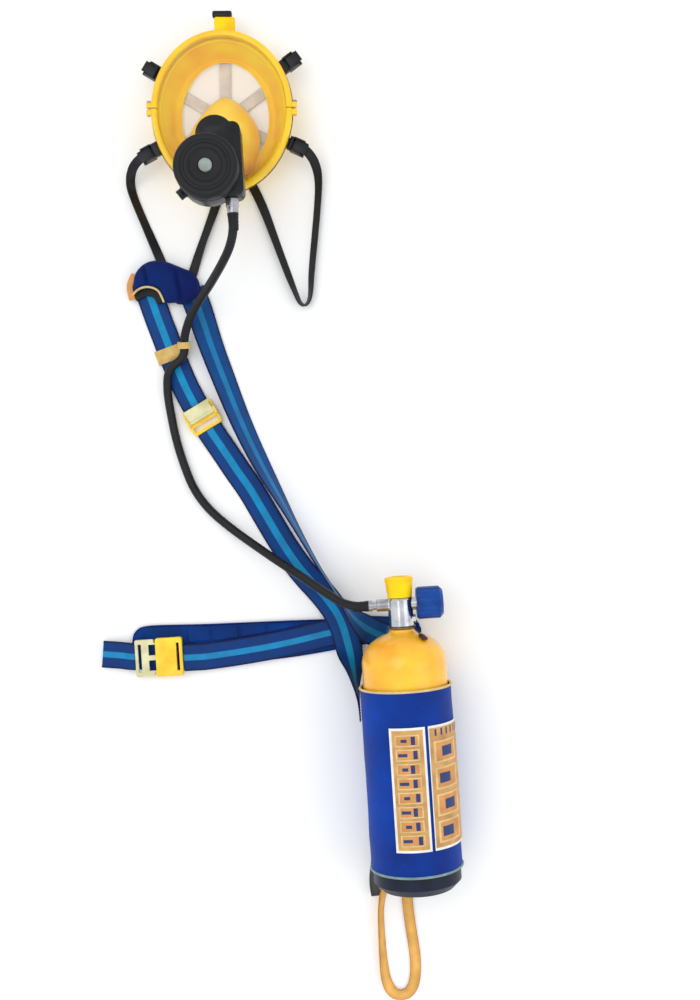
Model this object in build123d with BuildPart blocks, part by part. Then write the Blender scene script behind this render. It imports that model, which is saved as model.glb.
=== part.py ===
from build123d import *
import math
import os

# Hip-worn breathing apparatus laid out flat on its back, millimetres, +Z up.
# The origin is on the resting surface, under the middle of the set; +Y points to the mask.

# ---- driving sizes: cylinder, its cover and its valve ----
gap = 0.3
run_gap = 0.05
cyl_x = 180.0
cyl_r = 57.5
cyl_wall = 5.0
cyl_long = 297.0
shoulder_y = -214.0
neck_r = 17.0
neck_long = 47.0
boot_wall = 1.9
boot_base = 6.0
boot_high = 41.0
pouch_wall = 3.0
pouch_lift = 24.0
pouch_drop = 31.0
binding_out = 0.9
patch_thick = 0.8
panel_wide = 62.0
panel_thick = 6.7
panel_lift = 12.0
panel_past = 87.0
barrel_r = 17.0
barrel_long = 43.0
arm_r = 8.5
bonnet_r = 8.8
bonnet_long = 34.0
spindle_r = 4.0
wheel_r = 22.0
wheel_in = 22.0
wheel_out = 58.0
wheel_flutes = 12
chamber_r = 7.3
reducer_r = 9.0
reducer_in = 8.0
reducer_z0 = 30.0
reducer_z1 = 61.0
piston_r = 6.4
gauge_r = 14.5
gauge_deep = 24.7
gauge_boot_wall = 3.8

# places that follow from the sizes above
pouch_r = cyl_r + boot_wall + pouch_wall + 2 * gap
cyl_z = panel_thick + gap + pouch_r
base_y = shoulder_y - cyl_long
neck_y = shoulder_y + neck_long
valve_y = neck_y + neck_r + 17.0
barrel_y1 = neck_y + barrel_long
boot_y0 = base_y - boot_base
boot_y1 = base_y + boot_high
pouch_y0 = base_y + pouch_lift
pouch_y1 = shoulder_y - pouch_drop
panel_y0 = pouch_y0 + panel_lift
panel_y1 = pouch_y1 + panel_past
arm_x0 = cyl_x - barrel_r
bonnet_x1 = cyl_x + bonnet_long
wheel_x0 = cyl_x + wheel_in
wheel_x1 = cyl_x + wheel_out
reducer_x = cyl_x - reducer_in
gauge_y0 = barrel_y1 + gap
gauge_y1 = gauge_y0 + gauge_deep
boot_gauge_r = gauge_r + gap + gauge_boot_wall

# ---- driving sizes: hose and demand valve ----
hose_r = 6.0
plug_long = 26.0
plug_r = hose_r - 0.1
hose_y = valve_y
hose_x = arm_x0 - plug_long
sleeve_r = plug_r + 2.5
sleeve_long = 15.0
drum_x = -35.0
drum_y = 449.0
drum_r = 40.0
drum_wall = 3.5
drum_z0 = 128.0
drum_z1 = 168.0
cover_wall = 1.4
cover_high = 18.0
cover_r = drum_r + gap + cover_wall
cover_z1 = drum_z1 + cover_high
button_r = 9.0
port_x = -24.0
port_y = 498.0
port_wall = 10.7
port_fit = 0.1
port_z1 = 122.0
spigot_r = 15.2
port_r = spigot_r + port_fit + port_wall
inlet_x = -7.0
inlet_z = 145.0
inlet_y = 412.5

# ---- driving sizes: mask ----
mask_x = -20.0
mask_y = 560.0
mask_turn = -3.3
mask_z = 4.0
mask_half = 97.0
mask_up = 108.0
mask_down = 116.0
ring_z0 = 50.0
ring_z1 = 62.0
visor_wall = 2.6
blank_wall = 3.0
strap_w = 13.0
strap_t = 1.8

# ---- driving sizes: harness ----
web_w = 38.0
web_t = 2.0
belt_t = 6.0
buckle_x0 = -195.0
buckle_x1 = -128.0
buckle_y = -191.0
buckle_thick = 11.0
buckle_wide = web_w + 16.0
pad_z0 = 5.0
pad_z1 = 21.0

os.makedirs("parts", exist_ok=True)


def save(shape, name):
    shape.label = name
    export_step(shape, "parts/" + name + ".step")
    print(name, len(shape.solids()), round(shape.volume), flush=True)


def turning_plane(origin, axis, side):
    """Sketch plane whose local x is the radius and whose local y is the turning axis."""
    return Plane(origin=origin, x_dir=side, z_dir=Vector(side).cross(Vector(axis)))


def turned(plane, points):
    with BuildPart() as piece:
        with BuildSketch(plane):
            with BuildLine():
                Polyline(*points, close=True)
            make_face()
        revolve(axis=Axis(plane.origin, plane.y_dir))
    return piece.part


def ribbon(stations, width, thick):
    """Webbing through (x, y, z, roll) stations; at roll 0 it lies flat."""
    spots = [Vector(*s[:3]) for s in stations]
    with BuildPart() as strap:
        for i, spot in enumerate(spots):
            before = spots[max(i - 1, 0)]
            after = spots[min(i + 1, len(spots) - 1)]
            along = (after - before).normalized()
            side = along.cross(Vector(0, 0, 1)).normalized()
            side = side.rotate(Axis((0, 0, 0), along), stations[i][3])
            with BuildSketch(Plane(origin=spot, x_dir=side, z_dir=along)):
                Rectangle(width, thick)
        loft(ruled=True)
    return strap.part


bottle = turning_plane((cyl_x, 0, cyl_z), (0, 1, 0), (1, 0, 0))
bottle_axis = Axis((cyl_x, 0, cyl_z), (0, 1, 0))
cross = turning_plane((0, valve_y, cyl_z), (1, 0, 0), (0, 1, 0))


# ---- cylinder: a forged shell with a dished base, a shallow shoulder and a neck ----
inner_r = cyl_r - cyl_wall
knuckle = 20.0
with BuildPart() as cylinder_shell:
    with BuildSketch(bottle):
        with BuildLine():
            Line((6, base_y), (cyl_r - knuckle, base_y))
            RadiusArc((cyl_r - knuckle, base_y), (cyl_r, base_y + knuckle), -knuckle)
            Line((cyl_r, base_y + knuckle), (cyl_r, shoulder_y))
            Spline((cyl_r, shoulder_y), (cyl_r - 9, shoulder_y + 25), (neck_r + 6, neck_y - 6),
                   (neck_r, neck_y), tangents=[(0, 1), (0, 1)])
            Line((neck_r, neck_y), (12.6, neck_y))
            Line((12.6, neck_y), (12.6, neck_y - 22))
            Spline((12.6, neck_y - 22), (inner_r - 9, shoulder_y + 20), (inner_r, shoulder_y),
                   tangents=[(1, 0), (0, -1)])
            Line((inner_r, shoulder_y), (inner_r, base_y + knuckle))
            RadiusArc((inner_r, base_y + knuckle), (inner_r - 15, base_y + cyl_wall), 15)
            Line((inner_r - 15, base_y + cyl_wall), (6, base_y + cyl_wall))
            Line((6, base_y + cyl_wall), (6, base_y))
        make_face()
    revolve(axis=bottle_axis)
    with BuildSketch(Plane.XZ.offset(-base_y)):
        with Locations((cyl_x, cyl_z)):
            Circle(6)
    extrude(amount=-cyl_wall)
save(cylinder_shell.part, "cylinder_shell")

boot_r = cyl_r + gap + boot_wall
with BuildPart() as cylinder_boot:
    with BuildSketch(bottle):
        with BuildLine():
            Polyline((cyl_r - knuckle, base_y - gap), (0, base_y - gap), (0, boot_y0), (boot_r - 10, boot_y0),
                     (boot_r, boot_y0 + 10), (boot_r, boot_y1), (cyl_r + gap, boot_y1),
                     (cyl_r + gap, base_y + knuckle))
            RadiusArc((cyl_r - knuckle, base_y - gap), (cyl_r + gap, base_y + knuckle), -(knuckle + gap))
        make_face()
    revolve(axis=bottle_axis)
save(cylinder_boot.part, "cylinder_boot")

# ---- pouch: a fabric tube with bound rims, two printed panels and a padded back ----
pouch_in = pouch_r - pouch_wall
with BuildPart() as pouch_sleeve:
    with BuildSketch(bottle):
        with BuildLine():
            Polyline((pouch_in, pouch_y0), (pouch_r, pouch_y0), (pouch_r, pouch_y1), (pouch_in, pouch_y1),
                     close=True)
        make_face()
    revolve(axis=bottle_axis)
save(pouch_sleeve.part, "pouch_sleeve")

with BuildPart() as pouch_bindings:
    for edge_y, into in ((pouch_y0, 1), (pouch_y1, -1)):
        lip = edge_y - into * (gap + 2)
        with BuildSketch(bottle):
            with BuildLine():
                Polyline((pouch_in, lip), (pouch_r + binding_out, lip),
                         (pouch_r + binding_out, edge_y - into * gap),
                         (pouch_in, edge_y - into * gap), close=True)
            make_face()
        revolve(axis=bottle_axis)
save(pouch_bindings.part, "pouch_bindings")

patch_y0 = pouch_y0 + 32.0
patch_y1 = pouch_y1 - 45.0
patch_in = pouch_r + gap


def on_pouch(r, angle):
    return (cyl_x + r * math.cos(angle), cyl_z + r * math.sin(angle))


with BuildPart() as pouch_patches:
    for start, sweep_deg in ((72, 44), (6, 62)):
        with BuildSketch(Plane.XZ.offset(-patch_y0)):
            with BuildLine():
                a0 = math.radians(start)
                a1 = math.radians(start + sweep_deg)
                am = (a0 + a1) / 2
                far = patch_in + patch_thick
                ThreePointArc(on_pouch(patch_in, a0), on_pouch(patch_in, am), on_pouch(patch_in, a1))
                Line(on_pouch(patch_in, a1), on_pouch(far, a1))
                ThreePointArc(on_pouch(far, a1), on_pouch(far, am), on_pouch(far, a0))
                Line(on_pouch(far, a0), on_pouch(patch_in, a0))
            make_face()
        extrude(amount=-(patch_y1 - patch_y0))
save(pouch_patches.part, "pouch_patches")

with BuildPart() as back_panel:
    with BuildSketch(Plane.XY):
        with Locations((cyl_x, (panel_y0 + panel_y1) / 2)):
            RectangleRounded(panel_wide, panel_y1 - panel_y0, 14)
    extrude(amount=panel_thick)
    with BuildSketch(Plane.XZ.offset(-panel_y0)):
        with Locations((cyl_x, cyl_z)):
            Circle(pouch_r + binding_out + gap)
    extrude(amount=-(panel_y1 - panel_y0), mode=Mode.SUBTRACT)
save(back_panel.part, "back_panel")

# ---- base loop: a carrying loop of webbing and a black tail beside it ----
loop_w = 15.0
loop_t = 1.8
# stations of the loop and the tail, measured from the lower end of the back panel
loop_path = [(156, panel_y0 - 0.8, 3, 0), (154, panel_y0 - 9, 3, 0), (149, panel_y0 - 27, 4, 10),
             (136, panel_y0 - 55, 7, 40), (127, panel_y0 - 87, 8.5, 60), (126, panel_y0 - 125, 8, 56),
             (126, panel_y0 - 167, 7, 45), (128, panel_y0 - 195, 5, 28), (136, panel_y0 - 213, 3.5, 10),
             (150, panel_y0 - 218.3, 2.5, 0), (163, panel_y0 - 212, 2, 0), (170, panel_y0 - 194, 2, 0),
             (172, panel_y0 - 165, 2, 0), (168, panel_y0 - 125, 2, 0), (165, panel_y0 - 85, 2.2, 0),
             (167, panel_y0 - 45, 2.6, 0), (173, panel_y0 - 17, 3, 0), (175, panel_y0 - 0.8, 3, 0)]
base_loop = ribbon(loop_path, loop_w, loop_t)
tail_path = [(122.5, panel_y0 + 10, 38.9, -62), (122.5, panel_y0 - 15, 38.9, -62),
             (120, panel_y0 - 37, 30, -40), (120, panel_y0 - 57, 17, -20), (122, panel_y0 - 72, 8, -5)]
strap_tail = ribbon(tail_path, 14, 2.2)
save(Compound(children=[base_loop, strap_tail]), "base_loop")

# ---- cylinder valve ----
with BuildPart() as valve_body:
    with BuildSketch(bottle):
        with BuildLine():
            Polyline((0, neck_y - 20), (12.3, neck_y - 20), (12.3, neck_y + gap),
                     (barrel_r - 2, neck_y + gap),
                     (barrel_r, neck_y + 4), (barrel_r, barrel_y1 - 3), (barrel_r - 2, barrel_y1),
                     (0, barrel_y1), close=True)
        make_face()
    revolve(axis=bottle_axis)
    with BuildSketch(Plane.YZ.offset(cyl_x)):
        with Locations((valve_y, cyl_z)):
            Circle(bonnet_r)
    extrude(amount=bonnet_x1 - cyl_x)
    with BuildSketch(Plane.YZ.offset(arm_x0)):
        with Locations((valve_y, cyl_z)):
            Circle(arm_r)
    extrude(amount=cyl_x - arm_x0)
    with BuildSketch(Plane.XY.offset(reducer_z0)):
        with Locations((reducer_x, valve_y)):
            Circle(reducer_r)
    extrude(amount=reducer_z1 - reducer_z0)
    with BuildSketch(Plane.YZ.offset(cyl_x)):
        with Locations((neck_y + 13, cyl_z)):
            RegularPolygon(6, 6)
    extrude(amount=20)
    with BuildSketch(Plane.YZ.offset(cyl_x + 1)):
        with Locations((valve_y, cyl_z)):
            Circle(chamber_r)
    extrude(amount=9.5, mode=Mode.SUBTRACT)
    with BuildSketch(Plane.YZ.offset(cyl_x)):
        with Locations((valve_y, cyl_z)):
            Circle(spindle_r + run_gap)
    extrude(amount=bonnet_x1 - cyl_x, mode=Mode.SUBTRACT)
    with BuildSketch(Plane.YZ.offset(arm_x0)):
        with Locations((valve_y, cyl_z)):
            Circle(4)
    extrude(amount=6, mode=Mode.SUBTRACT)
    with BuildSketch(Plane.YZ.offset(arm_x0)):
        with Locations((valve_y, cyl_z)):
            Circle(2.5)
    extrude(amount=cyl_x - arm_x0, mode=Mode.SUBTRACT)
    with BuildSketch(Plane.XZ.offset(-(neck_y - 20))):
        with Locations((cyl_x + 5.5, cyl_z)):
            Circle(2.5)
    extrude(amount=-(valve_y - neck_y + 20), mode=Mode.SUBTRACT)
    with BuildSketch(Plane.XY.offset(reducer_z0)):
        with Locations((reducer_x, valve_y)):
            Circle(piston_r + run_gap)
    extrude(amount=27, mode=Mode.SUBTRACT)
    with BuildSketch(Plane.XY.offset(reducer_z0)):
        with Locations((reducer_x, valve_y)):
            Circle(2.6)
    extrude(amount=cyl_z - reducer_z0 - 3, mode=Mode.SUBTRACT)
save(valve_body.part, "valve_body")

valve_plug = turned(cross, [(0, cyl_x + 1.3), (6, cyl_x + 1.3), (6, cyl_x + 4.5), (2, cyl_x + 4.5),
                            (2, cyl_x + 16), (0, cyl_x + 16)])
save(valve_plug, "valve_plug")

valve_spindle = turned(cross, [(2.1, cyl_x + 10.8), (spindle_r, cyl_x + 10.8), (spindle_r, wheel_x1 - 4),
                               (0, wheel_x1 - 4), (0, cyl_x + 22), (2.1, cyl_x + 22)])
save(valve_spindle, "valve_spindle")

with BuildPart() as handwheel:
    with BuildSketch(cross):
        with BuildLine():
            Polyline((bonnet_r + 1.2, wheel_x0), (wheel_r - 2, wheel_x0), (wheel_r, wheel_x0 + 3),
                     (wheel_r, wheel_x1 - 5), (wheel_r - 5, wheel_x1), (0, wheel_x1), (0, wheel_x1 - 4),
                     (spindle_r + run_gap, wheel_x1 - 4), (spindle_r + run_gap, bonnet_x1 + 1),
                     (bonnet_r + 1.2, bonnet_x1 + 1), close=True)
        make_face()
    revolve(axis=Axis((0, valve_y, cyl_z), (1, 0, 0)))
    with BuildSketch(Plane.YZ.offset(wheel_x0)):
        with Locations((valve_y, cyl_z)):
            with PolarLocations(wheel_r + 2.2, wheel_flutes):
                Circle(3.6)
    extrude(amount=wheel_x1 - wheel_x0, mode=Mode.SUBTRACT)
save(handwheel.part, "handwheel")

# ---- pressure gauge: case, dial, needle, lens and rubber boot ----
case = turned(bottle, [(0, gauge_y0), (gauge_r, gauge_y0), (gauge_r, gauge_y1), (gauge_r - 1.6, gauge_y1),
                       (gauge_r - 1.6, gauge_y0 + 2.5), (0, gauge_y0 + 2.5)])
save(case, "gauge_case")
dial_y = gauge_y1 - 7.0
dial_r = gauge_r - 1.6 - 0.2
gauge_dial = turned(bottle, [(0, gauge_y0 + 2.8), (dial_r, gauge_y0 + 2.8), (dial_r, dial_y), (0.9, dial_y),
                             (0.9, dial_y + 2.2), (0, dial_y + 2.2)])
save(gauge_dial, "gauge_dial")
needle_y = dial_y + 0.6
with BuildPart() as gauge_needle:
    with BuildSketch(Plane.XZ.offset(-needle_y)):
        with Locations((cyl_x, cyl_z)):
            Circle(2.4)
        with BuildLine():
            Polyline((cyl_x - 1, cyl_z), (cyl_x + 1, cyl_z), (cyl_x + 0.3, cyl_z + 9.6),
                     (cyl_x - 0.3, cyl_z + 9.6), close=True)
        make_face()
        with Locations((cyl_x, cyl_z)):
            Circle(0.95, mode=Mode.SUBTRACT)
    extrude(amount=-0.8)
save(gauge_needle.part, "gauge_needle")
gauge_lens = turned(bottle, [(0, gauge_y1 - 3), (dial_r, gauge_y1 - 3), (dial_r, gauge_y1 - 1),
                             (0, gauge_y1 - 1)])
save(gauge_lens, "gauge_lens")
boot_in = gauge_r + gap
gauge_boot = turned(bottle, [(boot_in, gauge_y0), (boot_gauge_r - 1.5, gauge_y0),
                             (boot_gauge_r, gauge_y0 + 3),
                             (boot_gauge_r - 2, gauge_y1 + 1), (boot_gauge_r - 4.5, gauge_y1 + 4),
                             (11.5, gauge_y1 + 4),
                             (11.5, gauge_y1 + gap), (boot_in, gauge_y1 + gap)])
save(gauge_boot, "gauge_boot")

# ---- first-stage reducer, inside the downward barrel of the valve ----
upright = turning_plane((reducer_x, valve_y, 0), (0, 0, 1), (1, 0, 0))
reducer_piston = turned(upright, [(0, 43), (piston_r, 43), (piston_r, 47), (2.5, 47), (2.5, 61), (0, 61)])
save(reducer_piston, "reducer_piston")
spring_r = 4.4
wire_r = 0.6
with BuildPart() as reducer_spring:
    for turn in range(6):
        level = 47 + wire_r + 0.1 + turn * 1.72
        with BuildSketch(Plane(origin=(reducer_x, valve_y, level), x_dir=(1, 0, 0), z_dir=(0, -1, 0))):
            with Locations((spring_r, 0)):
                Circle(wire_r)
        revolve(axis=Axis((reducer_x, valve_y, 0), (0, 0, 1)))
save(reducer_spring.part, "reducer_spring")
reducer_cap = turned(upright, [(0, 24), (reducer_r - 2, 24), (reducer_r, 26), (reducer_r, reducer_z0 - 0.02),
                               (piston_r, reducer_z0 - 0.02), (piston_r, 35), (0, 35)])
save(reducer_cap, "reducer_cap")

# ---- seal tag on its wire, hanging on the shoulder of the cylinder ----
with BuildPart() as seal_tag:
    with BuildSketch(Plane(origin=(206.4, -177.6, 97.4), x_dir=(-0.72, 0, 0.69), z_dir=(0.37, 0.85, 0.38))):
        RectangleRounded(9, 12, 2)
    extrude(amount=2.4)
    with BuildSketch(Plane.XZ.offset(164)):
        with Locations((cyl_x, cyl_z)):
            Circle(barrel_r + 2.2)
            Circle(barrel_r + 0.6, mode=Mode.SUBTRACT)
    extrude(amount=-1.6)
    with BuildSketch(Plane(origin=(194, -163.2, 81.2), z_dir=(13, -13, 17))):
        Circle(0.9)
    extrude(amount=23)
save(seal_tag.part, "seal_tag")

# ---- hose: plug in the valve, sliding sleeve, tube, ferrule at the demand valve ----
hose_line = turning_plane((0, hose_y, cyl_z), (1, 0, 0), (0, 1, 0))
hose_plug = turned(hose_line, [(0, hose_x), (hose_r + 1.4, hose_x), (hose_r + 1.4, hose_x + 5),
                               (plug_r, hose_x + 5), (plug_r, arm_x0 - 0.02),
                               (3.9, arm_x0 - 0.02), (3.9, arm_x0 + 5), (0, arm_x0 + 5)])
save(hose_plug, "hose_plug")
sleeve_x1 = arm_x0 - 0.3
sleeve_x0 = sleeve_x1 - sleeve_long
coupling_sleeve = turned(hose_line, [(plug_r + 0.1, sleeve_x0), (sleeve_r - 1, sleeve_x0),
                                     (sleeve_r, sleeve_x0 + 1),
                                     (sleeve_r, sleeve_x1), (plug_r + 0.1, sleeve_x1)])
save(coupling_sleeve, "coupling_sleeve")

ferrule_y = inlet_y - 18
route = [(hose_x, hose_y, cyl_z), (111, hose_y, cyl_z), (83, -114, 66), (52, -91, 55), (16, -66, 37),
         (-18, -41, 18),
         (-51, -15, 8), (-80, 13, 6.3), (-99, 43, 6.3), (-110, 77, 6.3), (-119, 114, 6.3), (-124, 151, 6.4),
         (-127, 184, 7.8), (-123, 213, 14), (-98, 228, 14), (-97, 255, 20), (-86, 279, 33), (-71, 297, 53),
         (-54, 311, 76), (-40, 323, 100), (-26, 337, 122), (-14, 353, 138),
         (inlet_x, ferrule_y - 20, inlet_z),
         (inlet_x, ferrule_y, inlet_z)]


def corner_radii(points):
    radii = []
    for before, here, after in zip(points, points[1:], points[2:]):
        first = Vector(*here) - Vector(*before)
        second = Vector(*after) - Vector(*here)
        turn = math.radians(first.get_angle(second))
        radii.append(0.45 * min(first.length, second.length) / math.tan(turn / 2))
        print("corner", here, "runs", round(first.length), round(second.length), "turn",
              round(math.degrees(turn)), "radius", round(radii[-1], 1))
    return radii


with BuildPart() as hose_tube:
    with BuildLine() as hose_path:
        FilletPolyline(*route, radius=corner_radii(route))
    first_run = Vector(*route[1]) - Vector(*route[0])
    with BuildSketch(Plane(origin=route[0], z_dir=first_run)):
        Circle(hose_r)
    sweep()
hose_length = hose_path.wire().length
print("hose length", round(hose_length), "volume ratio",
      round(hose_tube.part.volume / (hose_length * math.pi * hose_r ** 2), 4))
save(hose_tube.part, "hose_tube")

inlet_line = turning_plane((inlet_x, 0, inlet_z), (0, 1, 0), (1, 0, 0))
hose_ferrule = turned(inlet_line, [(0, ferrule_y), (hose_r + 1.6, ferrule_y), (hose_r + 1.6, ferrule_y + 8),
                                   (hose_r + 2.6, ferrule_y + 9),
                                   (hose_r + 2.6, inlet_y - 0.02), (3.9, inlet_y - 0.02),
                                   (3.9, inlet_y + 5), (0, inlet_y + 5)])
save(hose_ferrule, "hose_ferrule")

# ---- demand valve: drum, elbow with spigot, inlet boss ----
cavity_r = drum_r - drum_wall
knob_turn = 216.0
knob_z = 150.0
knob_dir = Vector(math.cos(math.radians(knob_turn)), math.sin(math.radians(knob_turn)), 0)
knob_plane = Plane(origin=(drum_x, drum_y, knob_z) , x_dir=(0, 0, 1), z_dir=knob_dir)
elbow_r = spigot_r + 9.8
elbow_z1 = 149.0
flank_wide = 44.0
flank_long = 96.0
flank_z1 = 158.0
with BuildPart() as dv_housing:
    with BuildSketch(Plane.XY.offset(drum_z0)):
        with Locations((drum_x, drum_y)):
            Circle(drum_r)
    extrude(amount=drum_z1 - drum_z0)
    with BuildSketch(Plane.XY.offset(port_z1 + gap)):
        with Locations((port_x, port_y)):
            Circle(elbow_r)
    extrude(amount=elbow_z1 - port_z1 - gap)
    with BuildSketch(Plane.XY.offset(port_z1 + 2)):
        with Locations((inlet_x - 5, inlet_y + 2 + flank_long / 2)):
            RectangleRounded(flank_wide, flank_long, 10)
    extrude(amount=flank_z1 - port_z1 - 2)
    with BuildSketch(Plane.XY.offset(port_z1 - 18)):
        with Locations((port_x, port_y)):
            Circle(spigot_r)
    extrude(amount=20)
    with BuildSketch(Plane.XZ.offset(-inlet_y)):
        with Locations((inlet_x, inlet_z)):
            Circle(hose_r + 3)
    extrude(amount=-20)
    with BuildSketch(knob_plane.offset(drum_r - 6)):
        Circle(8)
    extrude(amount=8)
    with BuildSketch(Plane.XY.offset(drum_z0 + drum_wall)):
        with Locations((drum_x, drum_y)):
            Circle(cavity_r)
    extrude(amount=drum_z1 - drum_z0, mode=Mode.SUBTRACT)
    with BuildSketch(Plane.XY.offset(port_z1 - 18)):
        with Locations((port_x, port_y)):
            Circle(10)
    extrude(amount=38, mode=Mode.SUBTRACT)
    with BuildSketch(Plane(origin=(port_x, port_y, 140), x_dir=(0, 0, 1),
                           z_dir=(drum_x - port_x, drum_y - port_y, 0))):
        Circle(7)
    extrude(amount=25, mode=Mode.SUBTRACT)
    with BuildSketch(Plane.XZ.offset(-inlet_y)):
        with Locations((inlet_x, inlet_z)):
            Circle(4)
    extrude(amount=-24, mode=Mode.SUBTRACT)
    with BuildSketch(knob_plane.offset(drum_r - 8)):
        Circle(3.05)
    extrude(amount=12, mode=Mode.SUBTRACT)
save(dv_housing.part, "dv_housing")

with BuildPart() as dv_bypass:
    with BuildSketch(knob_plane.offset(drum_r - 6)):
        Circle(3)
    extrude(amount=8.5)
    with BuildSketch(knob_plane.offset(drum_r + 2 + gap)):
        Circle(7)
        Rectangle(18, 4)
    extrude(amount=7)
save(dv_bypass.part, "dv_bypass")

drum_line = turning_plane((drum_x, drum_y, 0), (0, 0, 1), (1, 0, 0))
seat_r = button_r + 0.4
dv_cover = turned(drum_line, [(drum_r + gap, drum_z1 - 8), (cover_r, drum_z1 - 8), (cover_r, cover_z1 - 4),
                              (cover_r - 4, cover_z1), (33, cover_z1), (31, cover_z1 - 2), (29, cover_z1 - 2),
                              (27, cover_z1), (22, cover_z1), (19, cover_z1 - 3), (seat_r, cover_z1 - 3),
                              (seat_r, cover_z1 - 6), (20, cover_z1 - 6), (36, cover_z1 - 5),
                              (36, drum_z1 + 0.02), (drum_r + gap, drum_z1 + 0.02)])
save(dv_cover, "dv_cover")
plate_z = 172.0
dv_button = turned(drum_line, [(0, plate_z + 0.02), (4, plate_z + 0.02), (4, cover_z1 - 11),
                               (button_r, cover_z1 - 11),
                               (button_r, cover_z1 - 1), (button_r - 1.5, cover_z1), (0, cover_z1)])
save(dv_button, "dv_button")
dv_diaphragm = turned(drum_line, [(0, plate_z - 1.6), (34.5, plate_z - 1.6), (35.6, plate_z - 0.6),
                                  (35.6, plate_z + 0.4),
                                  (33, plate_z + 0.4), (31, plate_z - 0.4), (14, plate_z - 0.4),
                                  (14, plate_z), (0, plate_z)])
save(dv_diaphragm, "dv_diaphragm")

cover_ledge = cover_z1 - 6
spring_wire = 0.7
spring_rings = 4
spring_span = cover_ledge - plate_z - 2 * spring_wire - 0.2
with BuildPart() as dv_spring:
    for turn in range(spring_rings):
        level = plate_z + 0.1 + spring_wire + turn * spring_span / (spring_rings - 1)
        with BuildSketch(Plane(origin=(drum_x, drum_y, level), x_dir=(1, 0, 0), z_dir=(0, -1, 0))):
            with Locations((12.5, 0)):
                Circle(spring_wire)
        revolve(axis=Axis((drum_x, drum_y, 0), (0, 0, 1)))
save(dv_spring.part, "dv_spring")

# the lever lies under the diaphragm, on a pin across the drum near its upper wall
lever_pin = (drum_x, drum_y + 26.0, 155.0)
with BuildPart() as dv_lever:
    with BuildSketch(Plane.YZ.offset(drum_x - 3)):
        with BuildLine():
            Polyline((lever_pin[1] + 2, lever_pin[2] - 2), (lever_pin[1] + 2, lever_pin[2] + 2),
                     (lever_pin[1] - 4, lever_pin[2] + 2.5), (drum_y + 4, 169.6), (drum_y - 4, 169.8),
                     (drum_y - 4, 168.2), (drum_y + 3, 168), (lever_pin[1] - 5, lever_pin[2] - 1), close=True)
        make_face()
    extrude(amount=6)
    with BuildSketch(Plane.YZ.offset(drum_x - 9)):
        with Locations((lever_pin[1], lever_pin[2])):
            Circle(1.5)
    extrude(amount=18)
save(dv_lever.part, "dv_lever")


# ---- mask: rubber face blank, clamped visor, inner mask, port housing ----
def mask_plane(z):
    return Plane(origin=(mask_x, mask_y, z), z_dir=(0, 0, 1)).rotated((0, 0, mask_turn))


def egg(half, up, down):
    """Closed outline, rounder above than below."""
    with BuildSketch() as outline:
        with BuildLine():
            EllipticalCenterArc((0, 0), half, up, start_angle=0, arc_size=180)
            EllipticalCenterArc((0, 0), half, down, start_angle=180, arc_size=180)
        make_face()
    return outline.sketch


def egg_loft(levels, shrink=0.0):
    """Solid through (z, half, up, down) outlines, each drawn in by shrink."""
    with BuildPart() as body:
        for z, half, up, down in levels:
            with BuildSketch(mask_plane(z)):
                add(egg(half - shrink, up - shrink, down - shrink))
        loft()
    return body.part


def egg_ring(z0, z1, outer, wide):
    with BuildPart() as ring:
        with BuildSketch(mask_plane(z0)):
            add(egg(*outer))
        extrude(amount=z1 - z0)
        with BuildSketch(mask_plane(z0)):
            add(egg(*(size - wide for size in outer)))
        extrude(amount=z1 - z0, mode=Mode.SUBTRACT)
    return ring.part


frame_size = (mask_half, mask_up, mask_down)
visor_size = tuple(size - 9 for size in frame_size)
blank_levels = [(mask_z, mask_half - 27, mask_up - 26, mask_down - 28),
                (25, mask_half - 15, mask_up - 13, mask_down - 15),
                (ring_z0 - gap, mask_half - 4, mask_up - 4, mask_down - 4)]
lip_size = tuple(size - 1.5 for size in blank_levels[0][1:])
rim_size = tuple(size - 2 for size in blank_levels[2][1:])
buckle_spots = [(mask_x - mask_half + 2, mask_y + mask_up - 43),
                (mask_x + mask_half + 3, mask_y + mask_up - 42),
                (mask_x - mask_half - 12, mask_y - mask_down + 65),
                (mask_x + mask_half + 5, mask_y - mask_down + 62),
                (mask_x + 7, mask_y + mask_up + 22)]
buckle_z = 31.0
tab_in = min(frame_size) - 11


def radial(spot):
    return Vector(spot[0] - mask_x, spot[1] - mask_y, 0).normalized()


with BuildPart() as mask_face:
    add(egg_loft(blank_levels))
    add(egg_loft(blank_levels, blank_wall), mode=Mode.SUBTRACT)
    add(egg_ring(mask_z, mask_z + 2.5, lip_size, 17))
    add(egg_ring(ring_z0 - 3, ring_z0 - gap, rim_size, 9))
    for spot_xy in buckle_spots:
        out = radial(spot_xy)
        reach = math.dist(spot_xy, (mask_x, mask_y)) + 5
        with BuildSketch(Plane(origin=(mask_x, mask_y, buckle_z + 5 + gap), x_dir=out, z_dir=(0, 0, 1))):
            with Locations(((reach + tab_in) / 2, 0)):
                Rectangle(reach - tab_in, 13)
        extrude(amount=2.7)
save(mask_face.part, "mask_face")

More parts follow.
